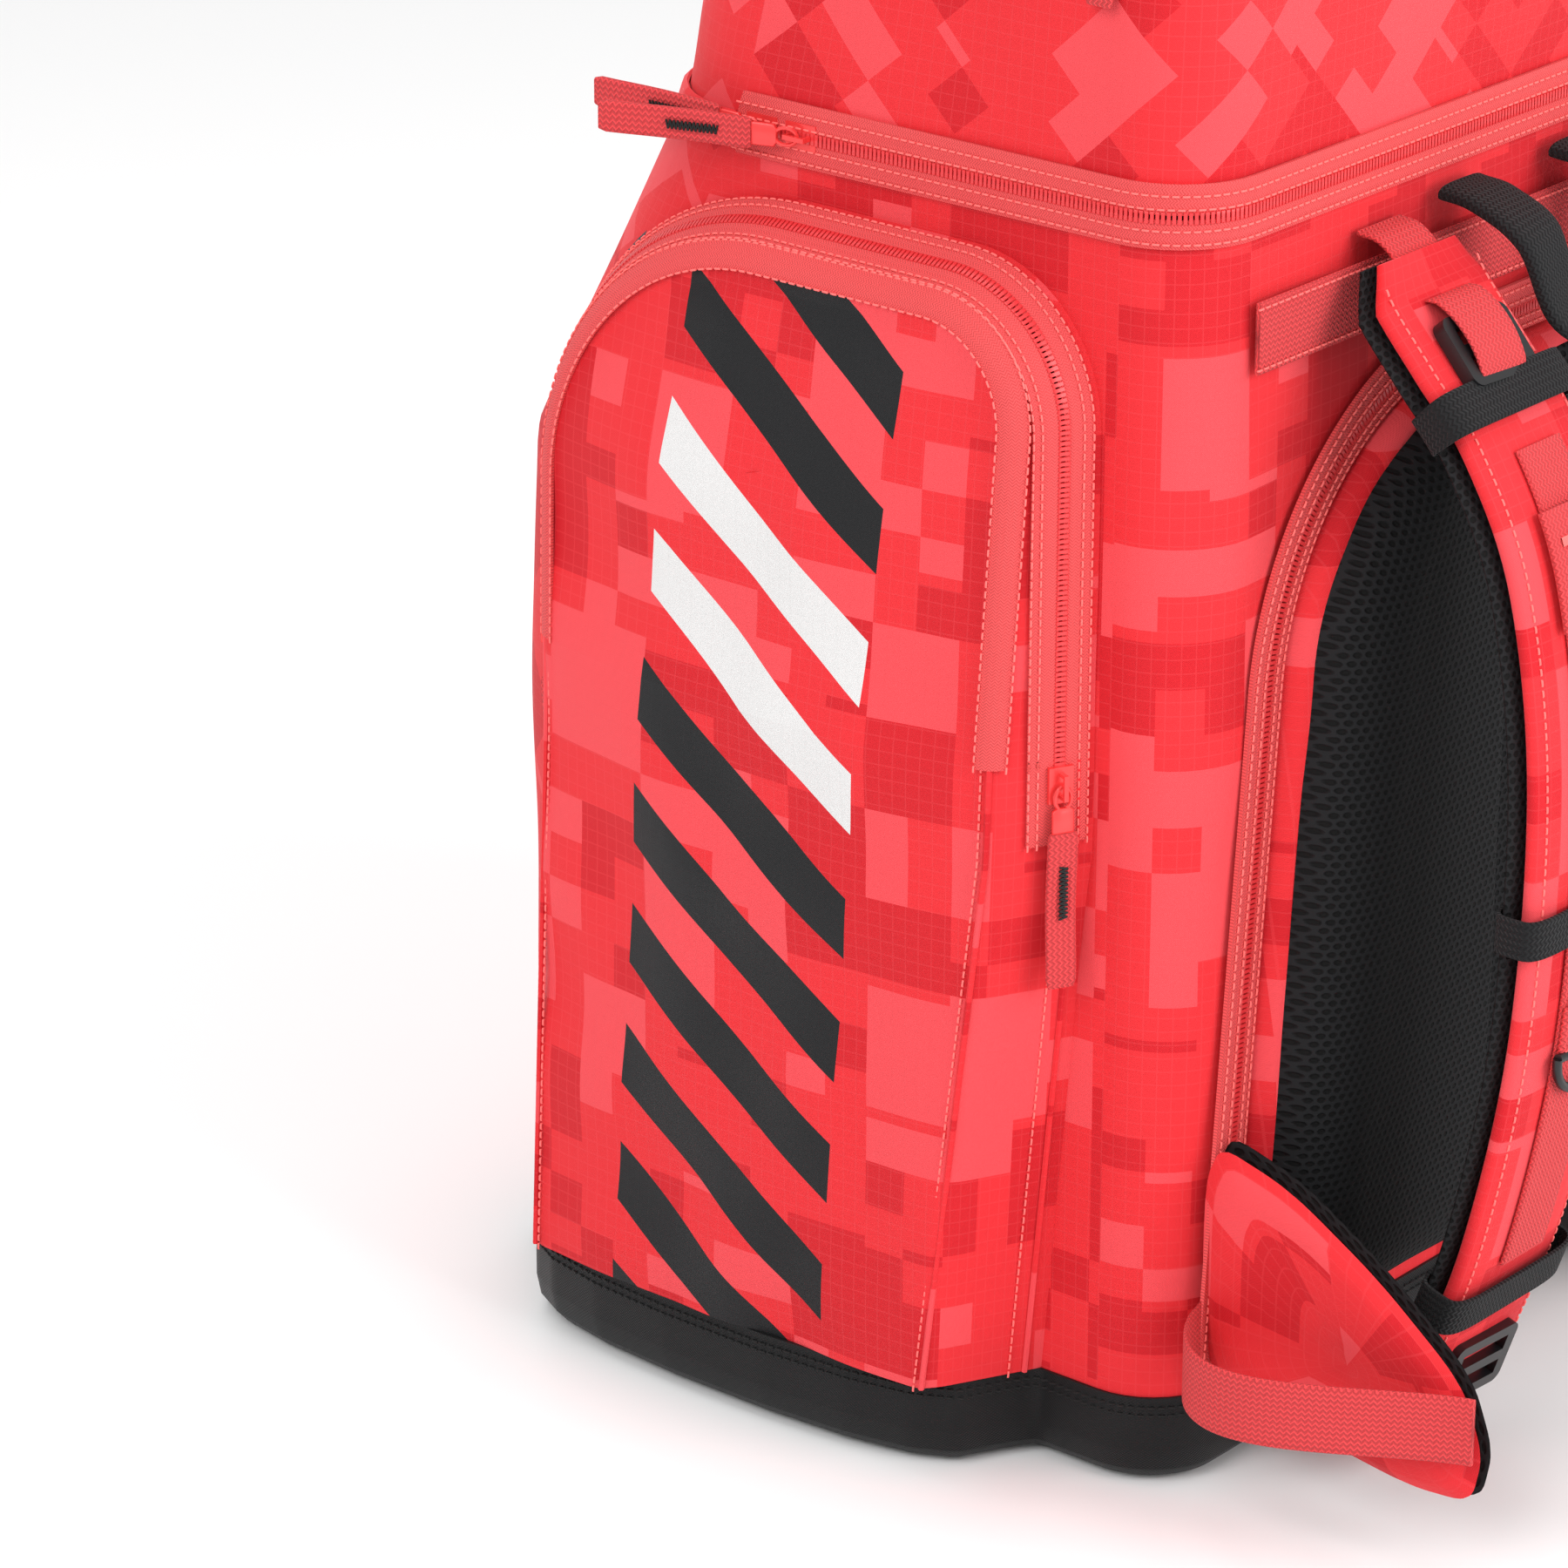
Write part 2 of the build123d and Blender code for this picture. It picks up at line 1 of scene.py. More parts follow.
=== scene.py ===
# %% [markdown]
# # A ski boot backpack
# The bag has a black coated base, two zipped boot pockets, a hinged helmet compartment and a padded harness.
# The frame is loaded first: it holds every solid and joint. Most cloth pieces made below ride on one of its
# bodies; the pocket doors with their zip tapes and bound edges, the helmet walls and the domed cover are not
# attached to any.

# %% Load the frame
import math
import bmesh
import bpy
import numpy as np
from mathutils import Matrix, Vector, noise


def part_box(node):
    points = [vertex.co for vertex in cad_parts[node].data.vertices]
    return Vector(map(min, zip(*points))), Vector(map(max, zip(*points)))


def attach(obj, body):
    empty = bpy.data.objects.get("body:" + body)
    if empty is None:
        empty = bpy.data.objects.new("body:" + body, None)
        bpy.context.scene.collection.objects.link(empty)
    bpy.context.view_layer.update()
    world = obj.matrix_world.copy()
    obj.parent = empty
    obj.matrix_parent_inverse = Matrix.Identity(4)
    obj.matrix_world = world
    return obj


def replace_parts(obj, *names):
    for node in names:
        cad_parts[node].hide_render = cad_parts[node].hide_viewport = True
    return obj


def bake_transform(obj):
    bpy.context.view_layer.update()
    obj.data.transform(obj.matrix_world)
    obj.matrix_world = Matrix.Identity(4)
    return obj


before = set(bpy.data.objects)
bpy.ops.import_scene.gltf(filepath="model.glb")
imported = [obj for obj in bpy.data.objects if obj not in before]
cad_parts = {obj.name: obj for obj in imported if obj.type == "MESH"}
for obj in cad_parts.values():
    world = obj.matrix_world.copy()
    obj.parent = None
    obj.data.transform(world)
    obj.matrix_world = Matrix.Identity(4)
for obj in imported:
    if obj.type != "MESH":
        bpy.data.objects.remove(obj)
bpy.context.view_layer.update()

scene = bpy.context.scene


def lo(node):
    return np.array(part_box(node)[0])


def hi(node):
    return np.array(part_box(node)[1])


# %% [markdown]
# ## Measures
# Every size is read off the frame's boxes, so the cloth follows the solids if they change.

# %% Read the main sizes
SLIT = 0.0016
HALF = -lo("side_wall_left")[0]
BACK = lo("back_wall")[1]
BAND = hi("base_tub")[2]
FRONT_BASE = hi("base_tub")[1]
ZIP_Z = hi("front_panel")[2] + SLIT / 2
FRONT_ZIP = hi("lid_shell")[1]
COVER_Z = hi("lid_shell")[2] + SLIT / 2
FRONT_COVER = hi("top_cover")[1]
TOP_Z = hi("top_cover")[2]
HINGE = lo("pocket_door_left")[2]
POCKET_TOP = hi("pocket_door_left")[2]
RAISE_BASE = -lo("base_tub")[0] - HALF
RAISE_HINGE = -lo("pocket_door_left")[0] - HALF
RAISE_TOP = RAISE_HINGE * 0.74
BACK_R, FRONT_R = 0.030, 0.050
FRONT_MID_Z = ZIP_Z * 0.70
FRONT_MID = FRONT_BASE - 0.008
SPLAY = 0.5
SLIT_DEPTH = 0.013
TAPE = 0.0102
SEAM_PITCH, EDGE_PITCH, TOOTH_PITCH = 0.0034, 0.0036, 0.0018
CENTRE = np.array([0.0, 0.0, ZIP_Z / 2])
print("half width", round(HALF, 3), "main zip at", round(ZIP_Z, 3), "top at", round(TOP_Z, 3))

# %% [markdown]
# ## Small makers
# A cloth panel is a grid of points given a thickness. A webbing, pad or tag is a section carried along a
# line.
# Both keep a flat map in metres, so a weave or a print has its real size everywhere.


# %% Grids of points
def unit(v):
    """Vectors made one long."""
    return v / (np.linalg.norm(v, axis=-1, keepdims=True) + 1e-12)


def facing_out(points, closed=False, inside=CENTRE):
    """Each grid point's normal, turned away from the inside."""
    along = np.roll(points, -1, 1) - np.roll(points, 1, 1) if closed else np.gradient(points, axis=1)
    n = unit(np.cross(along, np.gradient(points, axis=0)))
    return n if (n * (points - inside)).sum() > 0 else -n


def ripple(points, stretch, seed):
    """Soft folds: smooth noise with its own length along each axis."""
    flat = points.reshape(-1, 3) * np.array(stretch)
    values = [noise.noise(Vector(p) + Vector((seed, seed * 1.7, -seed))) for p in flat.tolist()]
    return np.array(values).reshape(points.shape[:2] + (1,))


def flat_map(points, closed):
    """A grid's own flat map, in metres."""
    loop = np.concatenate([points, points[:, :1]], 1) if closed else points
    across = np.linalg.norm(np.diff(loop, axis=1), axis=2).mean(0)
    up = np.linalg.norm(np.diff(loop, axis=0), axis=2).mean(1)
    u = np.concatenate([[0], np.cumsum(across)])
    v = np.concatenate([[0], np.cumsum(up)])
    return np.stack(np.broadcast_arrays(u[None, :], v[:, None]), 2)


def finish_mesh(mesh, name, material, angle=50):
    """A cleaned and smoothed object in its material."""
    work = bmesh.new()
    work.from_mesh(mesh)
    bmesh.ops.remove_doubles(work, verts=work.verts, dist=2e-5)
    bmesh.ops.dissolve_degenerate(work, edges=work.edges, dist=1e-6)
    bmesh.ops.recalc_face_normals(work, faces=work.faces)
    work.to_mesh(mesh)
    work.free()
    mesh.polygons.foreach_set("use_smooth", [True] * len(mesh.polygons))
    mesh.set_sharp_from_angle(angle=math.radians(angle))
    mesh.materials.clear()
    mesh.materials.append(material)
    obj = bpy.data.objects.new(name, mesh)
    scene.collection.objects.link(obj)
    return obj


def bare_grid(name, points, closed=False, keep=None, uv=None, inside=CENTRE):
    """A mesh of a grid's kept cells, wound to face outwards."""
    rows, cols = points.shape[:2]
    uv = flat_map(points, closed) if uv is None else uv
    if closed and uv.shape[1] == cols:
        uv = np.concatenate([uv, uv[:, :1]], 1)
    order = facing_out(points, closed, inside)
    across = np.roll(points, -1, 1) - np.roll(points, 1, 1) if closed else np.gradient(points, axis=1)
    turned = (np.cross(across, np.gradient(points, axis=0)) * order).sum() < 0
    faces, corners = [], []
    for r in range(rows - 1):
        for c in range(cols if closed else cols - 1):
            if keep is None or keep[r, c]:
                ring = [(r, c), (r, c + 1), (r + 1, c + 1), (r + 1, c)]
                ring = ring[::-1] if turned else ring
                faces.append([i * cols + j % cols for i, j in ring])
                corners += [uv[i, j] for i, j in ring]
    mesh = bpy.data.meshes.new(name)
    mesh.from_pydata(points.reshape(-1, 3).tolist(), [], faces)
    layer = mesh.uv_layers.new(name="flat")
    layer.data.foreach_set("uv", np.array(corners, np.float32).ravel())
    loose = bmesh.new()
    loose.from_mesh(mesh)
    bmesh.ops.delete(loose, geom=[v for v in loose.verts if not v.link_faces], context="VERTS")
    loose.to_mesh(mesh)
    loose.free()
    return mesh


def applied(obj):
    """The piece with its modifiers made plain."""
    made = bpy.data.meshes.new_from_object(obj.evaluated_get(bpy.context.evaluated_depsgraph_get()))
    obj.modifiers.clear()
    obj.data = made
    return obj


CUTS = {}


def lay_flat(points, closed=False, keep=None):
    """Width, length and area of a plain grid laid flat: the size its cloth is cut to."""
    grid = np.asarray(points, float)
    if closed:
        grid = np.concatenate([grid, grid[:, :1]], axis=1)
    down = np.linalg.norm(np.diff(grid, axis=0), axis=2)
    along = np.linalg.norm(np.diff(grid, axis=1), axis=2)
    down, along = (down[:, 1:] + down[:, :-1]) / 2, (along[1:] + along[:-1]) / 2
    cell = np.linalg.norm(np.cross(grid[1:, 1:] - grid[:-1, :-1], grid[1:, :-1] - grid[:-1, 1:]), axis=2) / 2
    kept = np.ones(cell.shape) if keep is None else np.asarray(keep, float)
    size = sorted(((down * kept).sum(0).max(), (along * kept).sum(1).max()))
    return [(*size, (cell * kept).sum())]


def as_sheet(piece):
    """Hands the piece back as it is."""
    return piece


def cloth(name, points, material, thickness=0.003, cut=None, **options):
    """A panel of cloth: the grid is its outer face and the thickness goes inwards."""
    mesh = bare_grid(name, points, **options)
    work = bmesh.new()
    work.from_mesh(mesh)
    bmesh.ops.remove_doubles(work, verts=work.verts, dist=2e-5)
    work.to_mesh(mesh)
    work.free()
    obj = bpy.data.objects.new(name + "_raw", mesh)
    scene.collection.objects.link(obj)
    ply = obj.modifiers.new("ply", "SOLIDIFY")
    ply.thickness = thickness
    ply.offset = -1
    applied(obj)
    piece = finish_mesh(obj.data, name, material)
    bpy.data.objects.remove(obj)
    CUTS[piece.name] = lay_flat(
        points if cut is None else cut, options.get("closed", False), options.get("keep")
    )
    return piece


def swept(name, line, side, out, section, material, scale=None):
    """A section carried along a line and closed at both ends."""
    line, side, out = (np.asarray(a, float) for a in (line, side, out))
    side = np.broadcast_to(side, line.shape)
    out = np.broadcast_to(out, line.shape)
    section = np.asarray(section, float)
    scale = np.ones((len(line), 2)) if scale is None else np.asarray(scale)
    rows = [
        line[i] + section[:, :1] * scale[i, 0] * side[i] + section[:, 1:] * scale[i, 1] * out[i]
        for i in range(len(line))
    ]
    first, last = rows[0].mean(0), rows[-1].mean(0)
    ring = len(section)
    rows = [np.repeat([first], ring, 0)] + rows + [np.repeat([last], ring, 0)]
    points = np.array(rows)
    mesh = bare_grid(name, points, closed=True, inside=line.mean(0))
    piece = finish_mesh(mesh, name, material)
    width = np.ptp(section[:, 0]) * scale[:, 0]
    steps = np.linalg.norm(np.diff(line, axis=0), axis=1)
    CUTS[piece.name] = [(width.max(), steps.sum(), ((width[1:] + width[:-1]) / 2 * steps).sum())]
    return piece


def strip_section(width, thick, corner=0.3):
    """A flat band's section with its long edges rounded."""
    points = []
    edge = thick * corner
    for sx, sy, start in ((1, 1, 0), (-1, 1, 90), (-1, -1, 180), (1, -1, 270)):
        for k in range(3):
            a = math.radians(start + 45 * k)
            points.append(
                (sx * (width / 2 - edge) + edge * math.cos(a), sy * (thick / 2 - edge) + edge * math.sin(a))
            )
    return points


def band_section(width, thick, parts=8):
    """As strip_section, with the flat faces cut into parts."""
    xs = np.linspace(width / 2 - thick * 0.3, -width / 2 + thick * 0.3, parts + 1)
    top = [(x, thick / 2) for x in xs]
    left = [(-width / 2, thick * 0.2), (-width / 2, -thick * 0.2)]
    low = [(x, -thick / 2) for x in xs[::-1]]
    return top + left + low + [(width / 2, -thick * 0.2), (width / 2, thick * 0.2)]


def pad_section(width, thick, parts=14):
    """A stuffed section: full in the middle and thin at its sewn edges."""
    a = np.linspace(0, 2 * math.pi, 2 * parts, endpoint=False)
    x = np.sign(np.cos(a)) * np.abs(np.cos(a)) ** 0.55 * width / 2
    y = np.sign(np.sin(a)) * np.abs(np.sin(a)) ** 0.75 * thick / 2
    return np.stack([x, y], 1)


def round_section(radius, parts=8):
    a = np.linspace(0, 2 * math.pi, parts, endpoint=False)
    return np.stack([np.cos(a), np.sin(a)], 1) * radius


def smooth_line(points, count):
    """A smooth line through a few points, cut into equal steps."""
    points = np.asarray(points, float)
    ends = np.vstack([2 * points[0] - points[1], points, 2 * points[-1] - points[-2]])
    out = []
    for i in range(len(points) - 1):
        a, b, c, d = ends[i : i + 4]
        for t in np.linspace(0, 1, 12, endpoint=False):
            out.append(
                0.5 * (
                    2 * b + (c - a) * t + (2 * a - 5 * b + 4 * c - d) * t**2 + (3 * b - a - 3 * c + d) * t**3
                )
            )
    return even_line(np.array(out + [points[-1]]), count)


def even_line(points, count):
    steps = np.linalg.norm(np.diff(points, axis=0), axis=1)
    at = np.concatenate([[0], np.cumsum(steps)])
    want = np.linspace(0, at[-1], count)
    return np.stack([np.interp(want, at, points[:, k]) for k in range(points.shape[1])], 1)


def joined(name, objects):
    """Several meshes as one piece."""
    work = bmesh.new()
    for o in objects:
        work.from_mesh(o.data)
    mesh = bpy.data.meshes.new(name)
    work.to_mesh(mesh)
    work.free()
    for m in objects[0].data.materials:
        mesh.materials.append(m)
    cuts = [cut for o in objects for cut in CUTS.get(o.name, [])]
    for o in objects:
        bpy.data.objects.remove(o)
    piece = bpy.data.objects.new(name, mesh)
    scene.collection.objects.link(piece)
    CUTS[piece.name] = cuts
    return piece


def mirror_points(points, sx):
    return points * np.array([sx, 1, 1])


print("makers ready")

# %% [markdown]
# ## Repeats
# Stitches and coil teeth are one small shape set at even steps along a line, each turned to face out.

# %% The tree that repeats a shape along a line
def repeat_tree():
    tree = bpy.data.node_groups.new("repeat along line", "GeometryNodeTree")
    for name, kind in (
        ("Line", "NodeSocketGeometry"), ("Shape", "NodeSocketObject"), ("Step", "NodeSocketFloat"),
        ("Finish", "NodeSocketMaterial")
    ):
        tree.interface.new_socket(name, in_out="INPUT", socket_type=kind)
    tree.interface.new_socket("Pieces", in_out="OUTPUT", socket_type="NodeSocketGeometry")
    add = tree.nodes.new
    given, made = add("NodeGroupInput"), add("NodeGroupOutput")
    curve, resample = add("GeometryNodeMeshToCurve"), add("GeometryNodeResampleCurve")
    resample.mode = "LENGTH"
    out, tangent = add("GeometryNodeInputNamedAttribute"), add("GeometryNodeInputTangent")
    out.data_type = "FLOAT_VECTOR"
    out.inputs["Name"].default_value = "out"
    turn, shape = add("FunctionNodeAxesToRotation"), add("GeometryNodeObjectInfo")
    put, real = add("GeometryNodeInstanceOnPoints"), add("GeometryNodeRealizeInstances")
    finish = add("GeometryNodeSetMaterial")
    link = tree.links.new
    link(given.outputs["Line"], curve.inputs[0])
    link(curve.outputs[0], resample.inputs["Curve"])
    link(given.outputs["Step"], resample.inputs["Length"])
    link(given.outputs["Shape"], shape.inputs["Object"])
    link(resample.outputs[0], put.inputs["Points"])
    link(shape.outputs["Geometry"], put.inputs["Instance"])
    link(out.outputs["Attribute"], turn.inputs["Primary Axis"])
    link(tangent.outputs[0], turn.inputs["Secondary Axis"])
    link(turn.outputs[0], put.inputs["Rotation"])
    link(put.outputs[0], real.inputs[0])
    link(real.outputs[0], finish.inputs[0])
    link(given.outputs["Finish"], finish.inputs["Material"])
    link(finish.outputs[0], made.inputs[0])
    return tree


REPEAT = repeat_tree()


def repeated(name, lines, outs, shape, step, material):
    """The shape at even steps along every line."""
    mesh = bpy.data.meshes.new(name)
    verts, edges, out = [], [], []
    for line, normal in zip(lines, outs):
        line = np.asarray(line, float)
        normal = np.broadcast_to(np.asarray(normal, float), line.shape)
        base = len(verts)
        verts += line.tolist()
        out += normal.tolist()
        edges += [(base + i, base + i + 1) for i in range(len(line) - 1)]
    mesh.from_pydata(verts, edges, [])
    mesh.attributes.new("out", "FLOAT_VECTOR", "POINT").data.foreach_set(
        "vector", np.array(out, np.float32).ravel()
    )
    obj = bpy.data.objects.new(name, mesh)
    scene.collection.objects.link(obj)
    grow = obj.modifiers.new("repeat", "NODES")
    grow.node_group = REPEAT
    sockets = {s.name: s.identifier for s in REPEAT.interface.items_tree if s.in_out == "INPUT"}
    grow[sockets["Shape"]] = shape
    grow[sockets["Step"]] = step
    grow[sockets["Finish"]] = material
    applied(obj)
    obj.data.materials.clear()
    obj.data.materials.append(material)
    obj.data.polygons.foreach_set("use_smooth", [True] * len(obj.data.polygons))
    return obj


def small_shape(name, section, line):
    """A tiny closed shape, kept out of the scene, that the tree repeats."""
    line = np.asarray(line, float)
    obj = swept(name, line, (0, 1, 0), (0, 0, 1), section, PLAIN)
    scene.collection.objects.unlink(obj)
    return obj


# %% [markdown]
# ## Finishes
# The shared effects are node groups: a plain weave with a ripstop grid, tonal square blocks, herringbone
# tape and an open knitted mesh.


# %% Node helpers
def group(name, inputs, outputs):
    tree = bpy.data.node_groups.new(name, "ShaderNodeTree")
    for label, kind, value in inputs:
        socket = tree.interface.new_socket(label, in_out="INPUT", socket_type=kind)
        if value is not None:
            socket.default_value = value
    for label, kind in outputs:
        tree.interface.new_socket(label, in_out="OUTPUT", socket_type=kind)
    return tree, tree.nodes.new("NodeGroupInput"), tree.nodes.new("NodeGroupOutput")


def sum_of(tree, operation, *values):
    """One maths node; each value is a number or another node's output."""
    node = tree.nodes.new("ShaderNodeMath")
    node.operation = operation
    for socket, value in zip(node.inputs, values):
        if isinstance(value, (int, float)):
            socket.default_value = value
        else:
            tree.links.new(value, socket)
    return node.outputs[0]


def split(tree, vector):
    node = tree.nodes.new("ShaderNodeSeparateXYZ")
    tree.links.new(vector, node.inputs[0])
    return node.outputs


def weave_group():
    """Threads crossing at a pitch, with a heavier thread at every ripstop step."""
    tree, given, made = group(
        "woven threads",
        [
            ("Flat", "NodeSocketVector", None), ("Pitch", "NodeSocketFloat", 0.0007),
            ("Grid", "NodeSocketFloat", 0.005)
        ],
        [("Height", "NodeSocketFloat"), ("Ribs", "NodeSocketFloat")]
    )
    x, y, _ = split(tree, given.outputs["Flat"])
    turn = sum_of(tree, "DIVIDE", 2 * math.pi, given.outputs["Pitch"])
    sx = sum_of(tree, "SINE", sum_of(tree, "MULTIPLY", x, turn))
    sy = sum_of(tree, "SINE", sum_of(tree, "MULTIPLY", y, turn))
    ribs = []
    for axis in (x, y):
        part = sum_of(tree, "FRACT", sum_of(tree, "DIVIDE", axis, given.outputs["Grid"]))
        ribs.append(sum_of(tree, "GREATER_THAN", part, 0.9))
    rib = sum_of(tree, "MAXIMUM", *ribs)
    tree.links.new(
        sum_of(
            tree, "MULTIPLY_ADD", sum_of(tree, "MULTIPLY", sx, sy), 0.5,
            sum_of(tree, "MULTIPLY_ADD", rib, 0.5, 0.5)
        ),
        made.inputs["Height"]
    )
    tree.links.new(rib, made.inputs["Ribs"])
    return tree


def blocks_group():
    """Square blocks of three sizes, added up and cut into a light and a deep mask."""
    tree, given, made = group(
        "tonal squares",
        [
            ("Flat", "NodeSocketVector", None), ("Cell", "NodeSocketFloat", 0.0165),
            ("Turn", "NodeSocketFloat", 0.0)
        ],
        [("Light", "NodeSocketFloat"), ("Deep", "NodeSocketFloat")]
    )
    rotate = tree.nodes.new("ShaderNodeVectorRotate")
    rotate.rotation_type = "Z_AXIS"
    tree.links.new(given.outputs["Flat"], rotate.inputs["Vector"])
    tree.links.new(given.outputs["Turn"], rotate.inputs["Angle"])
    x, y, _ = split(tree, rotate.outputs[0])
    total = None
    for wide, tall, shift, share in ((1, 1, 3.0, 0.35), (2, 2, 11.5, 0.45), (4, 3, 41.25, 0.50)):
        cells = tree.nodes.new("ShaderNodeCombineXYZ")
        for k, (axis, size) in enumerate(((x, wide), (y, tall))):
            part = sum_of(tree, "DIVIDE", axis, sum_of(tree, "MULTIPLY", given.outputs["Cell"], float(size)))
            tree.links.new(sum_of(tree, "FLOOR", sum_of(tree, "ADD", part, shift)), cells.inputs[k])
        chance = tree.nodes.new("ShaderNodeTexWhiteNoise")
        chance.noise_dimensions = "2D"
        tree.links.new(cells.outputs[0], chance.inputs["Vector"])
        part = sum_of(tree, "MULTIPLY", chance.outputs["Value"], share)
        total = part if total is None else sum_of(tree, "ADD", total, part)
    tree.links.new(sum_of(tree, "GREATER_THAN", total, 0.80), made.inputs["Light"])
    tree.links.new(sum_of(tree, "LESS_THAN", total, 0.52), made.inputs["Deep"])
    return tree


def herringbone_group():
    tree, given, made = group(
        "herringbone", [("Flat", "NodeSocketVector", None), ("Pitch", "NodeSocketFloat", 0.0011)],
        [("Height", "NodeSocketFloat")]
    )
    x, y, _ = split(tree, given.outputs["Flat"])
    fold = sum_of(tree, "PINGPONG", y, 0.0012)
    lean = sum_of(tree, "ADD", x, fold)
    wave = sum_of(
        tree, "SINE",
        sum_of(tree, "MULTIPLY", lean, sum_of(tree, "DIVIDE", 2 * math.pi, given.outputs["Pitch"]))
    )
    tree.links.new(sum_of(tree, "MULTIPLY_ADD", wave, 0.5, 0.5), made.inputs["Height"])
    return tree


def mesh_group():
    """Round openings in staggered rows, as in a spacer mesh."""
    tree, given, made = group(
        "open mesh", [("Flat", "NodeSocketVector", None), ("Pitch", "NodeSocketFloat", 0.0034)],
        [("Height", "NodeSocketFloat"), ("Hole", "NodeSocketFloat")]
    )
    x, y, _ = split(tree, given.outputs["Flat"])
    rows = sum_of(tree, "DIVIDE", y, sum_of(tree, "MULTIPLY", given.outputs["Pitch"], 0.866))
    odd = sum_of(tree, "MULTIPLY", sum_of(tree, "MODULO", sum_of(tree, "FLOOR", rows), 2.0), 0.5)
    cols = sum_of(tree, "ADD", sum_of(tree, "DIVIDE", x, given.outputs["Pitch"]), odd)
    dx = sum_of(tree, "SUBTRACT", sum_of(tree, "FRACT", cols), 0.5)
    dy = sum_of(tree, "SUBTRACT", sum_of(tree, "FRACT", rows), 0.5)
    far = sum_of(
        tree, "SQRT",
        sum_of(tree, "ADD", sum_of(tree, "MULTIPLY", dx, dx), sum_of(tree, "MULTIPLY", dy, dy))
    )
    edge = tree.nodes.new("ShaderNodeMapRange")
    edge.inputs["From Min"].default_value = 0.22
    edge.inputs["From Max"].default_value = 0.40
    tree.links.new(far, edge.inputs["Value"])
    tree.links.new(edge.outputs[0], made.inputs["Height"])
    tree.links.new(sum_of(tree, "SUBTRACT", 1.0, edge.outputs[0]), made.inputs["Hole"])
    return tree


def bars_group():
    """Slanted printed bars down a pocket's face, as a mask for black and a mask for white."""
    tree, given, made = group(
        "slanted bars", [("Place", "NodeSocketVector", None)],
        [("Dark", "NodeSocketFloat"), ("Pale", "NodeSocketFloat")]
    )
    x, y, z = split(tree, given.outputs["Place"])
    front = sum_of(tree, "MULTIPLY_ADD", sum_of(tree, "SUBTRACT", BAR_TOP, z), BAR_LEAN, BAR_FRONT)
    back = sum_of(tree, "SUBTRACT", front, BAR_WIDTH)
    inside = sum_of(
        tree, "MULTIPLY", sum_of(tree, "LESS_THAN", y, front), sum_of(tree, "GREATER_THAN", y, back)
    )
    edge = sum_of(
        tree, "MULTIPLY_ADD", sum_of(tree, "SUBTRACT", POCKET_TOP, z),
        (RAISE_HINGE - RAISE_TOP) / (POCKET_TOP - HINGE), HALF + RAISE_TOP - 0.0030
    )
    edge = sum_of(tree, "MINIMUM", edge, HALF + RAISE_HINGE - 0.004)
    on_face = sum_of(tree, "GREATER_THAN", sum_of(tree, "ABSOLUTE", x), edge)
    inside = sum_of(tree, "MULTIPLY", inside, on_face)
    fall = sum_of(tree, "MULTIPLY", sum_of(tree, "SUBTRACT", BAR_FRONT, y), BAR_SLOPE)
    down = sum_of(
        tree, "DIVIDE", sum_of(tree, "SUBTRACT", sum_of(tree, "SUBTRACT", BAR_TOP, z), fall), BAR_PITCH
    )
    down = sum_of(tree, "ADD", down, 1.0)
    number = sum_of(tree, "FLOOR", down)
    solid = sum_of(
        tree, "MULTIPLY", inside, sum_of(tree, "LESS_THAN", sum_of(tree, "FRACT", down), BAR_SHARE)
    )
    white = sum_of(
        tree, "MULTIPLY", sum_of(tree, "GREATER_THAN", number, 1.5), sum_of(tree, "LESS_THAN", number, 3.5)
    )
    tree.links.new(sum_of(tree, "MULTIPLY", solid, white), made.inputs["Pale"])
    tree.links.new(sum_of(tree, "MULTIPLY", solid, sum_of(tree, "SUBTRACT", 1.0, white)), made.inputs["Dark"])
    return tree


BAR_TOP = POCKET_TOP - 0.020
BAR_FRONT = 0.040
BAR_WIDTH = 0.096
BAR_LEAN = 0.07
BAR_SLOPE = 0.72
BAR_PITCH = 0.0495
BAR_SHARE = 0.49
WEAVE, BLOCKS, HERRINGBONE = weave_group(), blocks_group(), herringbone_group()
OPEN_MESH, BARS = mesh_group(), bars_group()


def new_material(name, colour, roughness=0.7, metallic=0.0, sheen=0.0):
    material = bpy.data.materials.new(name)
    material.use_nodes = True
    shade = material.node_tree.nodes["Principled BSDF"]
    shade.inputs["Base Color"].default_value = (*colour, 1)
    shade.inputs["Roughness"].default_value = roughness
    shade.inputs["Metallic"].default_value = metallic
    shade.inputs["Sheen Weight"].default_value = sheen
    shade.inputs["Specular IOR Level"].default_value = 0.5 if roughness < 0.4 else 0.22
    return material, material.node_tree, shade


def flat_of(tree):
    node = tree.nodes.new("ShaderNodeTexCoord")
    return node.outputs["UV"], node.outputs["Object"]


def use(tree, made_group, **sockets):
    node = tree.nodes.new("ShaderNodeGroup")
    node.node_tree = made_group
    for label, value in sockets.items():
        if isinstance(value, (int, float)):
            node.inputs[label].default_value = value
        else:
            tree.links.new(value, node.inputs[label])
    return node.outputs


def mix(tree, mask, a, b):
    node = tree.nodes.new("ShaderNodeMix")
    node.data_type = "RGBA"
    if isinstance(mask, float):
        node.inputs[0].default_value = mask
    else:
        tree.links.new(mask, node.inputs[0])
    for socket, value in ((node.inputs[6], a), (node.inputs[7], b)):
        if isinstance(value, tuple):
            socket.default_value = (*value, 1)
        else:
            tree.links.new(value, socket)
    return node.outputs[2]


def bump(tree, shade, height, strength, distance):
    node = tree.nodes.new("ShaderNodeBump")
    node.inputs["Strength"].default_value = strength
    node.inputs["Distance"].default_value = distance
    tree.links.new(height, node.inputs["Height"])
    tree.links.new(node.outputs[0], shade.inputs["Normal"])


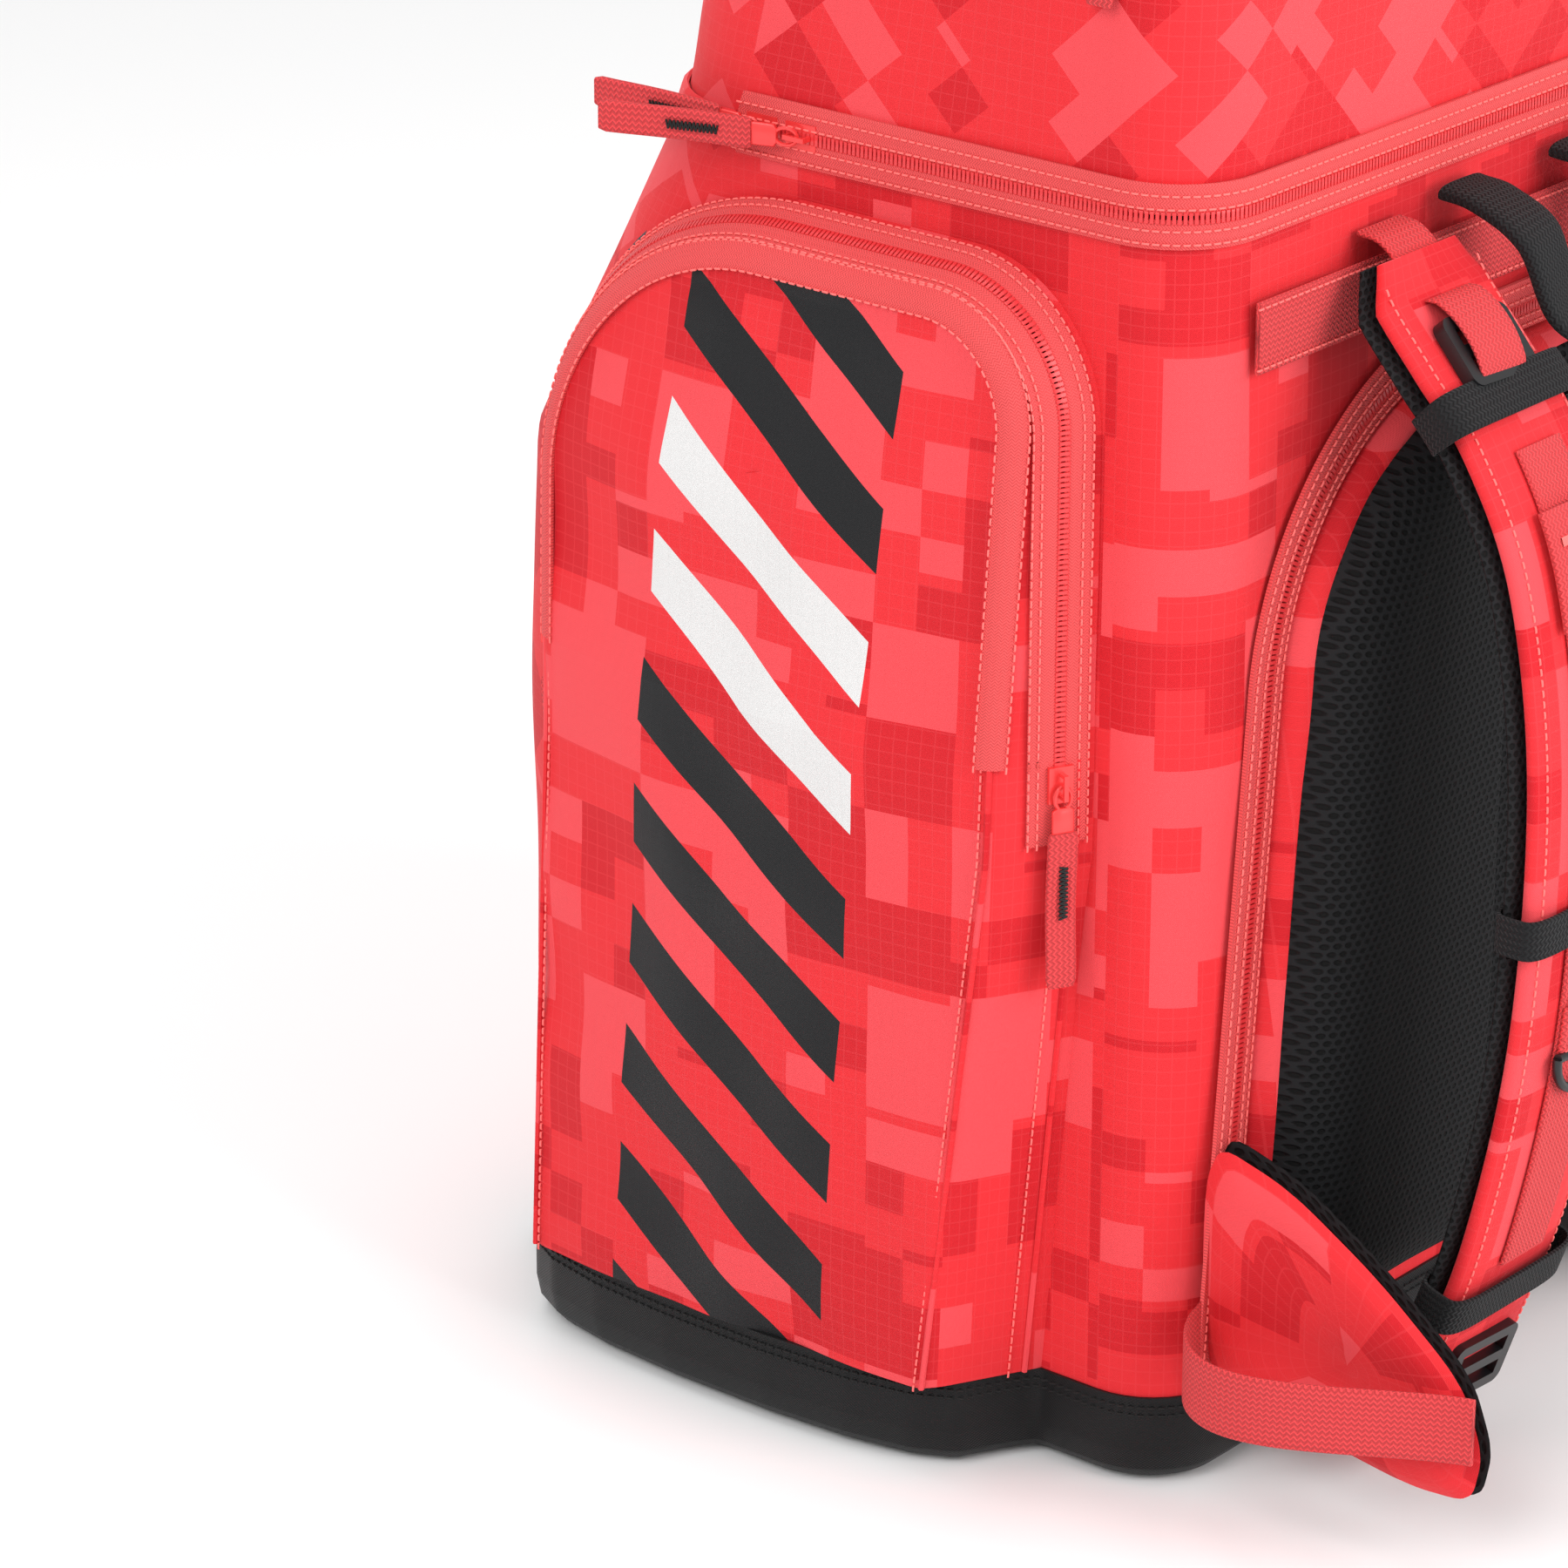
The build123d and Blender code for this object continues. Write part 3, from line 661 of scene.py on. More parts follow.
LIGHT, MID, DEEP = (0.76, 0.060, 0.072), (0.70, 0.020, 0.027), (0.56, 0.007, 0.014)


def shell_finish(name, turn=0.0, bars=False):
    material, tree, shade = new_material(name, MID, 0.66, sheen=0.05)
    flat, place = flat_of(tree)
    blocks = use(tree, BLOCKS, Flat=flat, Turn=turn)
    colour = mix(tree, blocks["Deep"], mix(tree, blocks["Light"], MID, LIGHT), DEEP)
    threads = use(tree, WEAVE, Flat=flat)
    colour = mix(tree, sum_of(tree, "MULTIPLY", threads["Ribs"], 0.22), colour, LIGHT)
    if bars:
        masks = use(tree, BARS, Place=place)
        colour = mix(
            tree, masks["Pale"], mix(tree, masks["Dark"], colour, (0.004, 0.004, 0.005)),
            (0.66, 0.65, 0.645)
        )
        gloss = sum_of(tree, "MULTIPLY_ADD", sum_of(tree, "ADD", masks["Dark"], masks["Pale"]), -0.22, 0.62)
        tree.links.new(gloss, shade.inputs["Roughness"])
    tree.links.new(colour, shade.inputs["Base Color"])
    bump(tree, shade, threads["Height"], 0.55, 0.0002)
    return material


def woven_finish(name, colour, pitch, grid, strength=0.5, roughness=0.75, tree_group=None):
    material, tree, shade = new_material(name, colour, roughness, sheen=0.04)
    flat, _ = flat_of(tree)
    threads = use(tree, tree_group or WEAVE, Flat=flat, Pitch=pitch, **({} if tree_group else {"Grid": grid}))
    dark = tuple(c * 0.62 for c in colour)
    tree.links.new(mix(tree, threads["Height"], dark, colour), shade.inputs["Base Color"])
    bump(tree, shade, threads["Height"], strength, pitch * 0.35)
    return material


def mesh_finish(name):
    material, tree, shade = new_material(name, (0.012, 0.012, 0.014), 0.8)
    flat, _ = flat_of(tree)
    holes = use(tree, OPEN_MESH, Flat=flat)
    # The openings are painted near-black: this is the black inner layer seen through them, darkened further as
    # painted shade inside the holes.
    tree.links.new(
        mix(tree, holes["Hole"], (0.009, 0.009, 0.010), (0.0008, 0.0008, 0.0008)),
        shade.inputs["Base Color"]
    )
    bump(tree, shade, holes["Height"], 0.9, 0.0012)
    return material


PLAIN = new_material("plain", (0.5, 0.5, 0.5))[0]
SHELL = shell_finish("shell")
SHELL_TURNED = shell_finish("shell_turned", turn=math.pi / 4)
PRINTED = shell_finish("shell_printed", bars=True)
COATED = woven_finish("coated_base", (0.0045, 0.0045, 0.005), 0.0011, 0.5, 0.5, 0.45)
LINING = woven_finish("inner_cloth", (0.10, 0.10, 0.11), 0.0009, 0.5, 0.3)
TAPE_CLOTH = woven_finish("zip_cloth", (0.84, 0.085, 0.088), 0.0011, 0.5, 0.6, tree_group=HERRINGBONE)
WEBBING = woven_finish("coral_webbing", (0.80, 0.062, 0.068), 0.0019, 0.5, 0.9, tree_group=HERRINGBONE)
BLACK_WEB = woven_finish("black_webbing", (0.008, 0.008, 0.009), 0.0019, 0.5, 0.9, tree_group=HERRINGBONE)
MESH = mesh_finish("spacer_mesh")
THREAD = new_material("coral_thread", (0.92, 0.16, 0.15), 0.6)[0]
BLACK_THREAD = new_material("black_thread", (0.012, 0.012, 0.012), 0.6)[0]
COIL = new_material("coil", (0.66, 0.030, 0.035), 0.35)[0]
LACQUER = new_material("coral_lacquer", (0.80, 0.050, 0.050), 0.25, metallic=0.25)[0]
ACETAL = new_material("acetal", (0.005, 0.005, 0.006), 0.38)[0]
STITCH = small_shape(
    "stitch", round_section(0.00038, 6),
    [(-0.0012, 0, 0), (-0.0008, 0, 0.0002), (0.0008, 0, 0.0002), (0.0012, 0, 0)]
)
TOOTH = small_shape("tooth", strip_section(0.0042, 0.0012), [(-0.0006, 0, 0), (0.0006, 0, 0)])
print("finishes ready:", len(bpy.data.materials))

# %% [markdown]
# ## The main bag
# The body is cut from panels that share one outline at every height. Each panel is sewn at the corners, so
# it swells a little between its seams.


# %% The outline at a height
SIDE_N, CORNER_N, BACK_N, FRONT_N = 56, 9, 48, 40
LEVELS = (
    (0.0, HALF, BACK, FRONT_BASE),
    (FRONT_MID_Z, HALF, BACK, FRONT_MID),
    (ZIP_Z, HALF, BACK, FRONT_ZIP),
    (COVER_Z, HALF - 0.006, BACK, FRONT_COVER),
    (COVER_Z + 0.014, HALF - 0.006, BACK, FRONT_COVER),
)


def arc(cx, cy, radius, start, end, count):
    a = np.radians(np.linspace(start, end, count, endpoint=False))
    return np.stack([cx + radius * np.cos(a), cy + radius * np.sin(a)], 1)


def straight(a, b, count):
    return np.linspace(a, b, count, endpoint=False)


def outline(z, grow=0.0, half=None, back=None, front=None):
    """The bag's outline, from the left side's front end, round the back and right, to the front."""
    level = [np.interp(z, [l[0] for l in LEVELS], [l[k] for l in LEVELS]) for k in (1, 2, 3)]
    x, y0, y1 = (a if b is None else b for a, b in zip(level, (half, back, front)))
    x, y0, y1, rb, rf = x + grow, y0 - grow, y1 + grow, BACK_R + grow, FRONT_R + grow
    return np.vstack([
        straight((-x, y1 - rf), (-x, y0 + rb), SIDE_N),
        arc(-x + rb, y0 + rb, rb, 180, 270, CORNER_N),
        straight((-x + rb, y0), (x - rb, y0), BACK_N),
        arc(x - rb, y0 + rb, rb, 270, 360, CORNER_N),
        straight((x, y0 + rb), (x, y1 - rf), SIDE_N),
        arc(x - rf, y1 - rf, rf, 0, 90, CORNER_N),
        straight((x - rf, y1), (-x + rf, y1), FRONT_N),
        arc(-x + rf, y1 - rf, rf, 90, 180, CORNER_N),
    ])


def rings(heights, grow=0.0):
    grown = np.broadcast_to(grow, len(heights))
    return np.array(
        [np.column_stack([outline(z, g), np.full(len(outline(z)), z)]) for z, g in zip(heights, grown)]
    )


LEFT_END = SIDE_N
BACK_START, BACK_END = SIDE_N + CORNER_N, SIDE_N + CORNER_N + BACK_N
RIGHT_START = BACK_END + CORNER_N
RIGHT_END = RIGHT_START + SIDE_N
AROUND = RIGHT_END + 2 * CORNER_N + FRONT_N


def swollen(points, amount, folds, seed, stretch=(26, 26, 15), closed=False):
    """A panel that stands out between its seams, with soft folds in it."""
    rows, cols = points.shape[:2]
    v = np.sin(np.linspace(0, math.pi, rows))[:, None, None] ** 1.2
    u = 1.0 if closed else np.sin(np.linspace(0, math.pi, cols))[None, :, None] ** 0.6
    out = facing_out(points, closed)
    return points + out * (
        amount * u * v + folds * np.minimum(1, 1.6 * u * v) * ripple(points, stretch, seed)
    )


heights = np.linspace(BAND, ZIP_Z - SLIT / 2, 76)
body = rings(heights)


def take(points, start, end):
    """The columns of a closed grid from one place to another."""
    return np.take(points, np.arange(start, end + 1) % points.shape[1], axis=1)


# %% [markdown]
# A boot pocket is an arch on each side. Its gusset slopes in as it stands out, and the zip runs round the
# gusset.


# %% The pocket's arch
BASE_BACK, BASE_FRONT = -0.092, 0.130
ARCH_BACK, ARCH_FRONT = -0.114, 0.122
ARCH_BACK_R, ARCH_FRONT_R = 0.054, 0.110
TAIL_Z = HINGE - 0.034
LOW_N, HIGH_N, BACK_ARC_N, FRONT_ARC_N, TOP_N = 40, 18, 16, 26, 14


def arch_line(inward, low_z=BAND):
    """The pocket's edge drawn in by a distance, from the front foot over the top to the back foot."""
    def edge(base, top, sign, z):
        return np.interp(z, [0, TAIL_Z], [base, top]) - sign * inward

    top = POCKET_TOP - inward
    rf, rb = ARCH_FRONT_R - inward, ARCH_BACK_R - inward
    front, back = ARCH_FRONT - inward, ARCH_BACK + inward
    low = np.linspace(low_z, HINGE, LOW_N, endpoint=False)
    high_front = np.linspace(HINGE, top - rf, HIGH_N, endpoint=False)
    high_back = np.linspace(top - rb, HINGE, HIGH_N, endpoint=False)
    low_back = np.linspace(HINGE, low_z, LOW_N + 1)
    return np.vstack([
        np.column_stack([edge(BASE_FRONT, ARCH_FRONT, 1, low), low]),
        np.column_stack([edge(BASE_FRONT, ARCH_FRONT, 1, high_front), high_front]),
        arc(front - rf, top - rf, rf, 0, 90, FRONT_ARC_N),
        straight((front - rf, top), (back + rb, top), TOP_N),
        arc(back + rb, top - rb, rb, 90, 180, BACK_ARC_N),
        np.column_stack([edge(BASE_BACK, ARCH_BACK, -1, high_back), high_back]),
        np.column_stack([edge(BASE_BACK, ARCH_BACK, -1, low_back), low_back]),
    ])


ARCH_N = len(arch_line(0))
HINGE_FRONT, HINGE_BACK = LOW_N, ARCH_N - LOW_N - 1
SPINE_Y = (ARCH_FRONT + ARCH_BACK) / 2
SPINE_TOP = POCKET_TOP - 0.085


def stand_out(z):
    """How far the pocket's face stands out at a height."""
    return np.interp(z, [0, HINGE, POCKET_TOP], [RAISE_BASE, RAISE_HINGE, RAISE_TOP])


def soft_least(a, b, width):
    h = np.clip(0.5 + 0.5 * (b - a) / width, 0, 1)
    return b * (1 - h) + a * h - width * h * (1 - h)


GUSSET = np.linspace(0.0, 0.024, 33)
FACE_N = 34


def spine_line(low_z=BAND):
    """The middle line that the pocket's rows run to."""
    low = np.linspace(low_z, HINGE, LOW_N, endpoint=False)
    high = np.linspace(HINGE, SPINE_TOP, HIGH_N, endpoint=False)
    count = ARCH_N - 2 * LOW_N - 2 * HIGH_N - 1
    z = np.concatenate(
        [
            low, high, np.full(count, SPINE_TOP), np.linspace(SPINE_TOP, HINGE, HIGH_N, endpoint=False),
            np.linspace(HINGE, low_z, LOW_N + 1)
        ]
    )
    y = np.full(ARCH_N, SPINE_Y) + np.interp(z, [0, HINGE], [(BASE_FRONT + BASE_BACK) / 2 - SPINE_Y, 0])
    return np.column_stack([y, z])


def pocket_grid(low_z=BAND, lift=0.0):
    """Rows run inwards from the wall, up the gusset and over the face to the spine; columns follow the arch."""
    rows, flats = [], []
    edge = arch_line(GUSSET[-1], low_z)
    spine = spine_line(low_z)
    outward = unit(arch_line(0.0, low_z) - edge)
    for q in GUSSET:
        line = arch_line(q, low_z)
        depth = soft_least(np.full(ARCH_N, q / SPLAY), stand_out(line[:, 1]), 0.010)
        rows.append(np.column_stack([-HALF - depth - lift, line]))
        flats.append(line + outward * (stand_out(line[:, 1]) - depth)[:, None])
    for t in np.linspace(0, 1, FACE_N)[1:]:
        line = edge * (1 - t) + spine * t
        z = line[:, 1]
        puff = (1 - (1 - t) ** 2.4) * np.interp(z, [0, 0.08, HINGE, POCKET_TOP], [0.001, 0.004, 0.011, 0.004])
        rows.append(np.column_stack([-HALF - stand_out(z) - puff - lift, line]))
        flats.append(line)
    return np.array(rows), np.array(flats)


def near_arch(y, z, inward):
    """True inside the pocket's edge drawn in by a distance."""
    line = arch_line(inward, 0.0)
    ring = np.vstack([line, line[:1]])
    inside = np.zeros(y.shape, bool)
    for (y0, z0), (y1, z1) in zip(ring[:-1], ring[1:]):
        if z0 != z1:
            crosses = (z0 > z) != (z1 > z)
            inside ^= crosses & (y < (y1 - y0) * (z - z0) / (z1 - z0) + y0)
    return inside


print("arch points", ARCH_N)

# %% Side, back and front panels
for side, sx, start, end in (("left", -1, 0, LEFT_END), ("right", 1, RIGHT_START, RIGHT_END)):
    plain = take(body, start, end)
    panel = swollen(plain, 0.002, 0.0015, 3.0 + sx)
    middle = (panel[:-1, :-1] + panel[1:, 1:]) / 2
    keep = ~near_arch(middle[..., 1], middle[..., 2], 0.008)
    flat = panel[..., 1:] * np.array([sx, 1])
    piece = cloth(f"side_panel_{side}", panel, SHELL, cut=plain, keep=keep, uv=flat)
    arch = np.linalg.norm(np.diff(arch_line(0.0), axis=0), axis=1).sum()
    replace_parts(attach(as_sheet(piece), "bag"), f"side_wall_{side}")
back_panel = swollen(take(body, BACK_START - CORNER_N, BACK_END + CORNER_N), 0.004, 0.002, 9.0)
piece = cloth("back_panel", back_panel, SHELL, cut=take(body, BACK_START - CORNER_N, BACK_END + CORNER_N))
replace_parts(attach(as_sheet(piece), "bag"), "back_wall")
front = swollen(take(body, RIGHT_END, AROUND), 0.010, 0.004, 5.0, (17, 17, 11))
piece = cloth("front_panel_cloth", front, SHELL_TURNED, cut=take(body, RIGHT_END, AROUND))
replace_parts(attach(as_sheet(piece), "bag"), "front_panel")
print("main bag panels made")

# %% Pockets and their doors
slit_q = SLIT_DEPTH * SPLAY
for side, sx in (("left", 1), ("right", -1)):
    grid, flat = pocket_grid()
    folds = np.interp(np.arange(len(grid)), [0, len(GUSSET), len(grid) - 1], [0.0, 0.6, 1.0])[:, None, None]
    outward = facing_out(grid, inside=np.array([-HALF + 0.02, SPINE_Y, 0.2]))
    crease = ripple(grid, (10, 14, 22), 2.0 + sx) * 0.0046 + ripple(grid, (30, 34, 15), 7.0 + sx) * 0.0022
    plain = grid
    grid = mirror_points(grid + outward * folds * crease, sx)
    row = np.concatenate([GUSSET, np.full(FACE_N - 1, 1.0)])[:-1]
    rows = np.broadcast_to(row[:, None], (len(grid) - 1, ARCH_N - 1))
    cols = np.broadcast_to(np.arange(ARCH_N - 1)[None, :], rows.shape)
    low = (cols < HINGE_FRONT) | (cols >= HINGE_BACK)
    inner = np.array([sx * (-HALF + 0.02), SPINE_Y, 0.2])
    fixed = cloth(
        f"pocket_body_{side}", grid, PRINTED, cut=plain, keep=low | (rows < slit_q - 0.0006), uv=flat,
        inside=inner
    )
    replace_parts(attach(as_sheet(fixed), "bag"), f"pocket_shell_{side}")
    door = cloth(
        f"pocket_flap_{side}", grid, PRINTED, cut=plain, keep=~low & (rows > slit_q + 0.0002), uv=flat,
        inside=inner
    )
    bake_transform(door)
    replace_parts(as_sheet(door), f"pocket_door_{side}")
print("pockets made")


# %% Pocket zips: tapes, coil, stitches and the bound edge
def arch_strip(q0, q1, lift, rows=4, low_z=BAND, first=0, last=None):
    """A strip on the pocket between two inward distances, lifted off its surface."""
    lines = []
    for q in np.linspace(q0, q1, rows):
        line = arch_line(q, low_z)
        depth = soft_least(np.full(ARCH_N, q / SPLAY), stand_out(line[:, 1]), 0.010)
        lines.append(np.column_stack([-HALF - depth, line]))
    points = np.array(lines)
    normal = facing_out(points, inside=np.array([-HALF + 0.02, SPINE_Y, 0.2]))
    return (points + normal * lift)[:, first:last], normal[:, first:last]


def edge_strip(near, far, lift, rows=5, first=0, last=None):
    """A strip along the line where the gusset meets the face, between two distances from it."""
    ladder = np.array([arch_line(q) for q in np.linspace(0, 0.030, 61)])
    lines = []
    for beside in np.linspace(near, far, rows):
        place = np.clip((stand_out(ladder[20][:, 1]) * SPLAY + beside) / 0.0005, 0, 59.9)
        step = place.astype(int)
        share = (place - step)[:, None]
        column = np.arange(ARCH_N)
        line = ladder[step, column] * (1 - share) + ladder[step + 1, column] * share
        depth = soft_least(place * 0.0005 / SPLAY, stand_out(line[:, 1]), 0.010)
        lines.append(np.column_stack([-HALF - depth, line]))
    points = np.array(lines)
    normal = facing_out(points, inside=np.array([-HALF + 0.02, SPINE_Y, 0.2]))
    return (points + normal * lift)[:, first:last], normal[:, first:last]


tail = 5
zip_first, zip_last = HINGE_FRONT - tail, HINGE_BACK + tail + 1
for side, sx in (("left", 1), ("right", -1)):
    inner = np.array([sx * (-HALF + 0.02), SPINE_Y, 0.2])
    width = TAPE * 0.894 * SPLAY
    spans = {
        "bag": [(slit_q - 0.0004 - width, slit_q - 0.0003, zip_first, zip_last)],
        "door": [(slit_q + 0.0003, slit_q + 0.0004 + width, HINGE_FRONT, HINGE_BACK + 1)]
    }
    spans["bag"] += [
        (slit_q + 0.0003, slit_q + 0.0004 + width, a, b) for a,
        b in ((zip_first, HINGE_FRONT + 1), (HINGE_BACK, zip_last))
    ]
    for owner, strips in spans.items():
        made = []
        threads, outs = [], []
        for q0, q1, first, last in strips:
            strip, normal = arch_strip(q0, q1, 0.0012, first=first, last=last)
            made.append(
                cloth(
                    f"tape_{len(made)}", mirror_points(strip, sx), TAPE_CLOTH, thickness=0.0011,
                    inside=inner
                )
            )
            for k in (2, 3) if q0 > slit_q else (0, 1):
                threads.append(mirror_points(strip[k] + normal[k] * 0.0002, sx))
                outs.append(mirror_points(normal[k], sx))
        name = f"pocket_tape_{owner}_{side}"
        tape = as_sheet(joined(name, made))
        sewn = repeated(f"pocket_tape_stitches_{owner}_{side}", threads, outs, STITCH, SEAM_PITCH, THREAD)
        for piece, label in ((tape, "zip_tape"), (sewn, "zip_tape")):
            if owner == "bag":
                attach(piece, "bag")
            else:
                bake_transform(piece)
        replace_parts(tape, "pocket_zip_body_tapes" if owner == "bag" else f"pocket_zip_door_tape_{side}")
    line, normal = arch_strip(slit_q - 0.0002, slit_q + 0.0002, 0.0012, 2, first=zip_first, last=zip_last)
    coil = repeated(
        f"pocket_coil_{side}", [mirror_points(line[0], sx)], [mirror_points(normal[0], sx)], TOOTH, TOOTH_PITCH,
        COIL
    )
    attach(coil, "bag")
    edge, normal = edge_strip(-0.0022, 0.0058, 0.0016, 5, HINGE_FRONT, HINGE_BACK + 1)
    binding = as_sheet(
        cloth(f"edge_binding_{side}", mirror_points(edge, sx), TAPE_CLOTH, thickness=0.0013, inside=inner)
    )
    line = [mirror_points(edge[k] + normal[k] * 0.0002, sx) for k in (0, 4)]
    sewn = repeated(
        f"edge_stitches_{side}", line, [mirror_points(normal[k], sx) for k in (0, 4)], STITCH, EDGE_PITCH,
        THREAD
    )
    for piece in (binding, sewn):
        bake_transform(piece)
    seams, outs, cords = [], [], []
    for first, last in ((0, HINGE_FRONT + 1), (HINGE_BACK, None)):
        for at_edge in (False, True):
            edge, normal = edge_strip(0.0008, 0.0020, 0.0004, 3, first, last) if at_edge else arch_strip(
                0.0024, 0.0036, 0.0004, 3, first=first, last=last
            )
            cords.append(
                swept(
                    "cord", mirror_points(edge[1], sx), mirror_points(unit(edge[2] - edge[0]), sx),
                    mirror_points(normal[1], sx), round_section(0.0011, 6), SHELL
                )
            )
            edge, normal = edge_strip(0.0032, 0.0044, 0.0003, 3, first, last) if at_edge else arch_strip(
                0.0052, 0.0064, 0.0003, 3, first=first, last=last
            )
            seams.append(mirror_points(edge[1], sx))
            outs.append(mirror_points(normal[1], sx))
    sewn = repeated(f"pleat_stitches_{side}", seams, outs, STITCH, SEAM_PITCH, THREAD)
    for piece in (joined(f"pleat_seams_{side}", cords), sewn):
        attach(piece, "bag")
    rim = np.array(
        [
            np.column_stack([np.full(ARCH_N, -HALF + 0.0040 - 0.0012 * math.sin(k)), arch_line(q)]) for k,
            q in zip(np.linspace(0, math.pi, 6), np.linspace(-0.003, 0.019, 6))
        ]
    )
    facing = as_sheet(
        cloth(
            f"opening_binding_{side}", mirror_points(rim, sx), LINING, thickness=0.0022, inside=inner * 0.2
        )
    )
    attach(facing, "bag")
print("pocket zips made")

# %% [markdown]
# ## The black base
# The coated base is one tub with a floor; its top edge steps out round both pockets.


# %% Base tub
def tub_outline(grow):
    """The bag's outline at the floor with both pockets' feet standing out from it."""
    ring = outline(0.0, grow)
    reach = RAISE_BASE * SPLAY
    bump = [
        (-HALF - 0.001, BASE_FRONT + grow), (-HALF - RAISE_BASE - grow, BASE_FRONT - reach + grow * 0.6),
        (-HALF - RAISE_BASE - grow, BASE_BACK + reach - grow * 0.6), (-HALF, BASE_BACK - grow)
    ]
    left = [p for p in ring[:SIDE_N] if p[1] < BASE_BACK - 0.004 - grow]
    front_corner = [p for p in ring[-CORNER_N:] if p[1] > BASE_FRONT + 0.004 + grow]
    right = [(-x, y) for x, y in left[::-1]]
    corner = [(-x, y) for x, y in front_corner[::-1]]
    back = ring[SIDE_N : BACK_END + CORNER_N].tolist()
    front = ring[RIGHT_END + CORNER_N : RIGHT_END + CORNER_N + FRONT_N].tolist()
    loop = np.array(
        [*bump, *left, *back, *right, *[(-x, y) for x, y in bump[::-1]], *corner, *front, *front_corner]
    )
    for _ in range(2):
        after = np.roll(loop, -1, 0)
        loop = np.stack([loop * 0.75 + after * 0.25, loop * 0.25 + after * 0.75], 1).reshape(-1, 2)
    return even_line(np.vstack([loop, loop[:1]]), 421)[:-1]


rows = []
for z, grow in (
    (BAND, 0.0012), (BAND - 0.003, 0.0014), (0.024, 0.002), (0.014, 0.002), (0.006, 0.0005),
    (0.002, -0.003), (0.0, -0.008)
):
    loop = tub_outline(grow)
    rows.append(np.column_stack([loop, np.full(len(loop), z)]))
foot = rows[-1]
for share in (0.8, 0.6, 0.4, 0.2, 0.0):
    rows.append(foot * np.array([share, share, 1]))
tub = cloth(
    "coated_tub", np.array(rows), COATED, thickness=0.0032, closed=True, inside=np.array([0, 0, 0.03])
)
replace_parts(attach(as_sheet(tub), "bag"), "base_tub")
rim = [np.column_stack([tub_outline(0.0018), np.full(420, z)]) for z in (BAND - 0.0035, BAND - 0.0065)]
sewn = repeated(
    "base_stitches", rim, [unit(r * np.array([1, 1, 0])) for r in rim], STITCH, EDGE_PITCH, BLACK_THREAD
)
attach(sewn, "bag")
print("base made")

# %% [markdown]
# ## The helmet compartment and its cover
# The compartment hinges at the bag's front edge and the cover hinges at its own front edge.

# %% Lid and cover
lid_rings = rings(np.linspace(ZIP_Z + SLIT / 2, COVER_Z - SLIT / 2, 30))
lid_cloth = swollen(lid_rings, 0.0015, 0.0022, 21.0, (18, 18, 13), closed=True)
lid = cloth("helmet_walls", lid_cloth, SHELL_TURNED, cut=lid_rings, closed=True)
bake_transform(lid)
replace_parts(as_sheet(lid), "lid_shell")
floor_loop = outline(ZIP_Z + 0.01, -0.006)
rows = [
    np.column_stack(
        [floor_loop * k, np.full(len(floor_loop), lo("lid_floor")[2] + 0.0018)]
    ) for k in (1, 0.75, 0.5, 0.25, 0)
]
lid_base = cloth(
    "helmet_floor", np.array(rows), LINING, thickness=0.002, closed=True, inside=np.array([0, 0, 0.1])
)
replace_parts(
    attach(as_sheet(lid_base), "lid"), "lid_floor"
)

rows = [rings([z])[0] for z in np.linspace(COVER_Z + SLIT / 2, COVER_Z + 0.014, 4)]
shape = [(0.06, 0.25), (0.16, 0.48), (0.32, 0.70), (0.52, 0.86), (0.74, 0.95), (1.0, 1.0)]
low_ring, top_mid = rows[-1], np.array([0, (BACK + FRONT_COVER) / 2 - 0.004])
for inset, climb in shape:
    level = COVER_Z + 0.014 + (TOP_Z - COVER_Z - 0.014) * climb
    rows.append(
        np.column_stack(
            [low_ring[:, :2] * (1 - 0.19 * inset) + top_mid * 0.19 * inset, np.full(len(low_ring), level)]
        )
    )
flat_ring = rows[-1]
for share in np.linspace(0.94, 0, 16):
    spot = np.append(top_mid, TOP_Z)
    rows.append(spot + (flat_ring - spot) * share + np.array([0, 0, 0.006 * (1 - share**2)]))
dome = np.array(rows)
slack = np.minimum(1, np.arange(len(dome)) / 5)[:, None, None]
dome = dome + facing_out(dome, True) * 0.003 * ripple(dome, (16, 16, 16), 31.0) * slack
cover = cloth("domed_cover", dome, SHELL_TURNED, closed=True)
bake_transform(cover)
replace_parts(as_sheet(cover), "top_cover")
print("lid and cover made")


# %% Zips round the bag
def belt(heights, lift, front_y):
    """Points round the back and sides at some heights, lifted off the cloth, stopping at front_y."""
    made = []
    for z in heights:
        loop = outline(z, lift)
        path = even_line(loop[: RIGHT_END + 1], 900)
        made.append(np.column_stack([path[path[:, 1] <= front_y], np.full((path[:, 1] <= front_y).sum(), z)]))
    count = min(len(m) for m in made)
    return np.array([np.column_stack([even_line(m[:, :2], count), m[:count, 2]]) for m in made])


def belt_zip(name, z, front_y, lower, upper, node_low, node_high):
    """A zip round the bag: a tape on each side of the slit, their stitches and the coil."""
    for part, z0, z1, owner, node in (
        ("low", z - SLIT / 2 - TAPE, z - SLIT / 2, lower, node_low),
        ("high", z + SLIT / 2, z + SLIT / 2 + TAPE, upper, node_high)
    ):
        strip = belt(np.linspace(z0, z1, 4), 0.0026, front_y)
        strip[0 if part == "low" else -1, :, :2] *= 0.9975
        tape = as_sheet(cloth(f"{name}_tape_{part}", strip, TAPE_CLOTH, thickness=0.0016))
        lines = belt([z0 + TAPE * k for k in (0.18, 0.62)], 0.0028, front_y)
        sewn = repeated(
            f"{name}_stitches_{part}", lines, [facing_out(lines)[k] for k in (0, 1)], STITCH, SEAM_PITCH, THREAD
        )
        for piece in (tape, sewn):
            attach(piece, owner)
        if node:
            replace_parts(tape, node)
    line = belt([z - 0.0002, z + 0.0002], 0.0026, front_y)
    coil = repeated(f"{name}_coil", line[:1], facing_out(line)[:1], TOOTH, TOOTH_PITCH, COIL)
    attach(coil, lower)


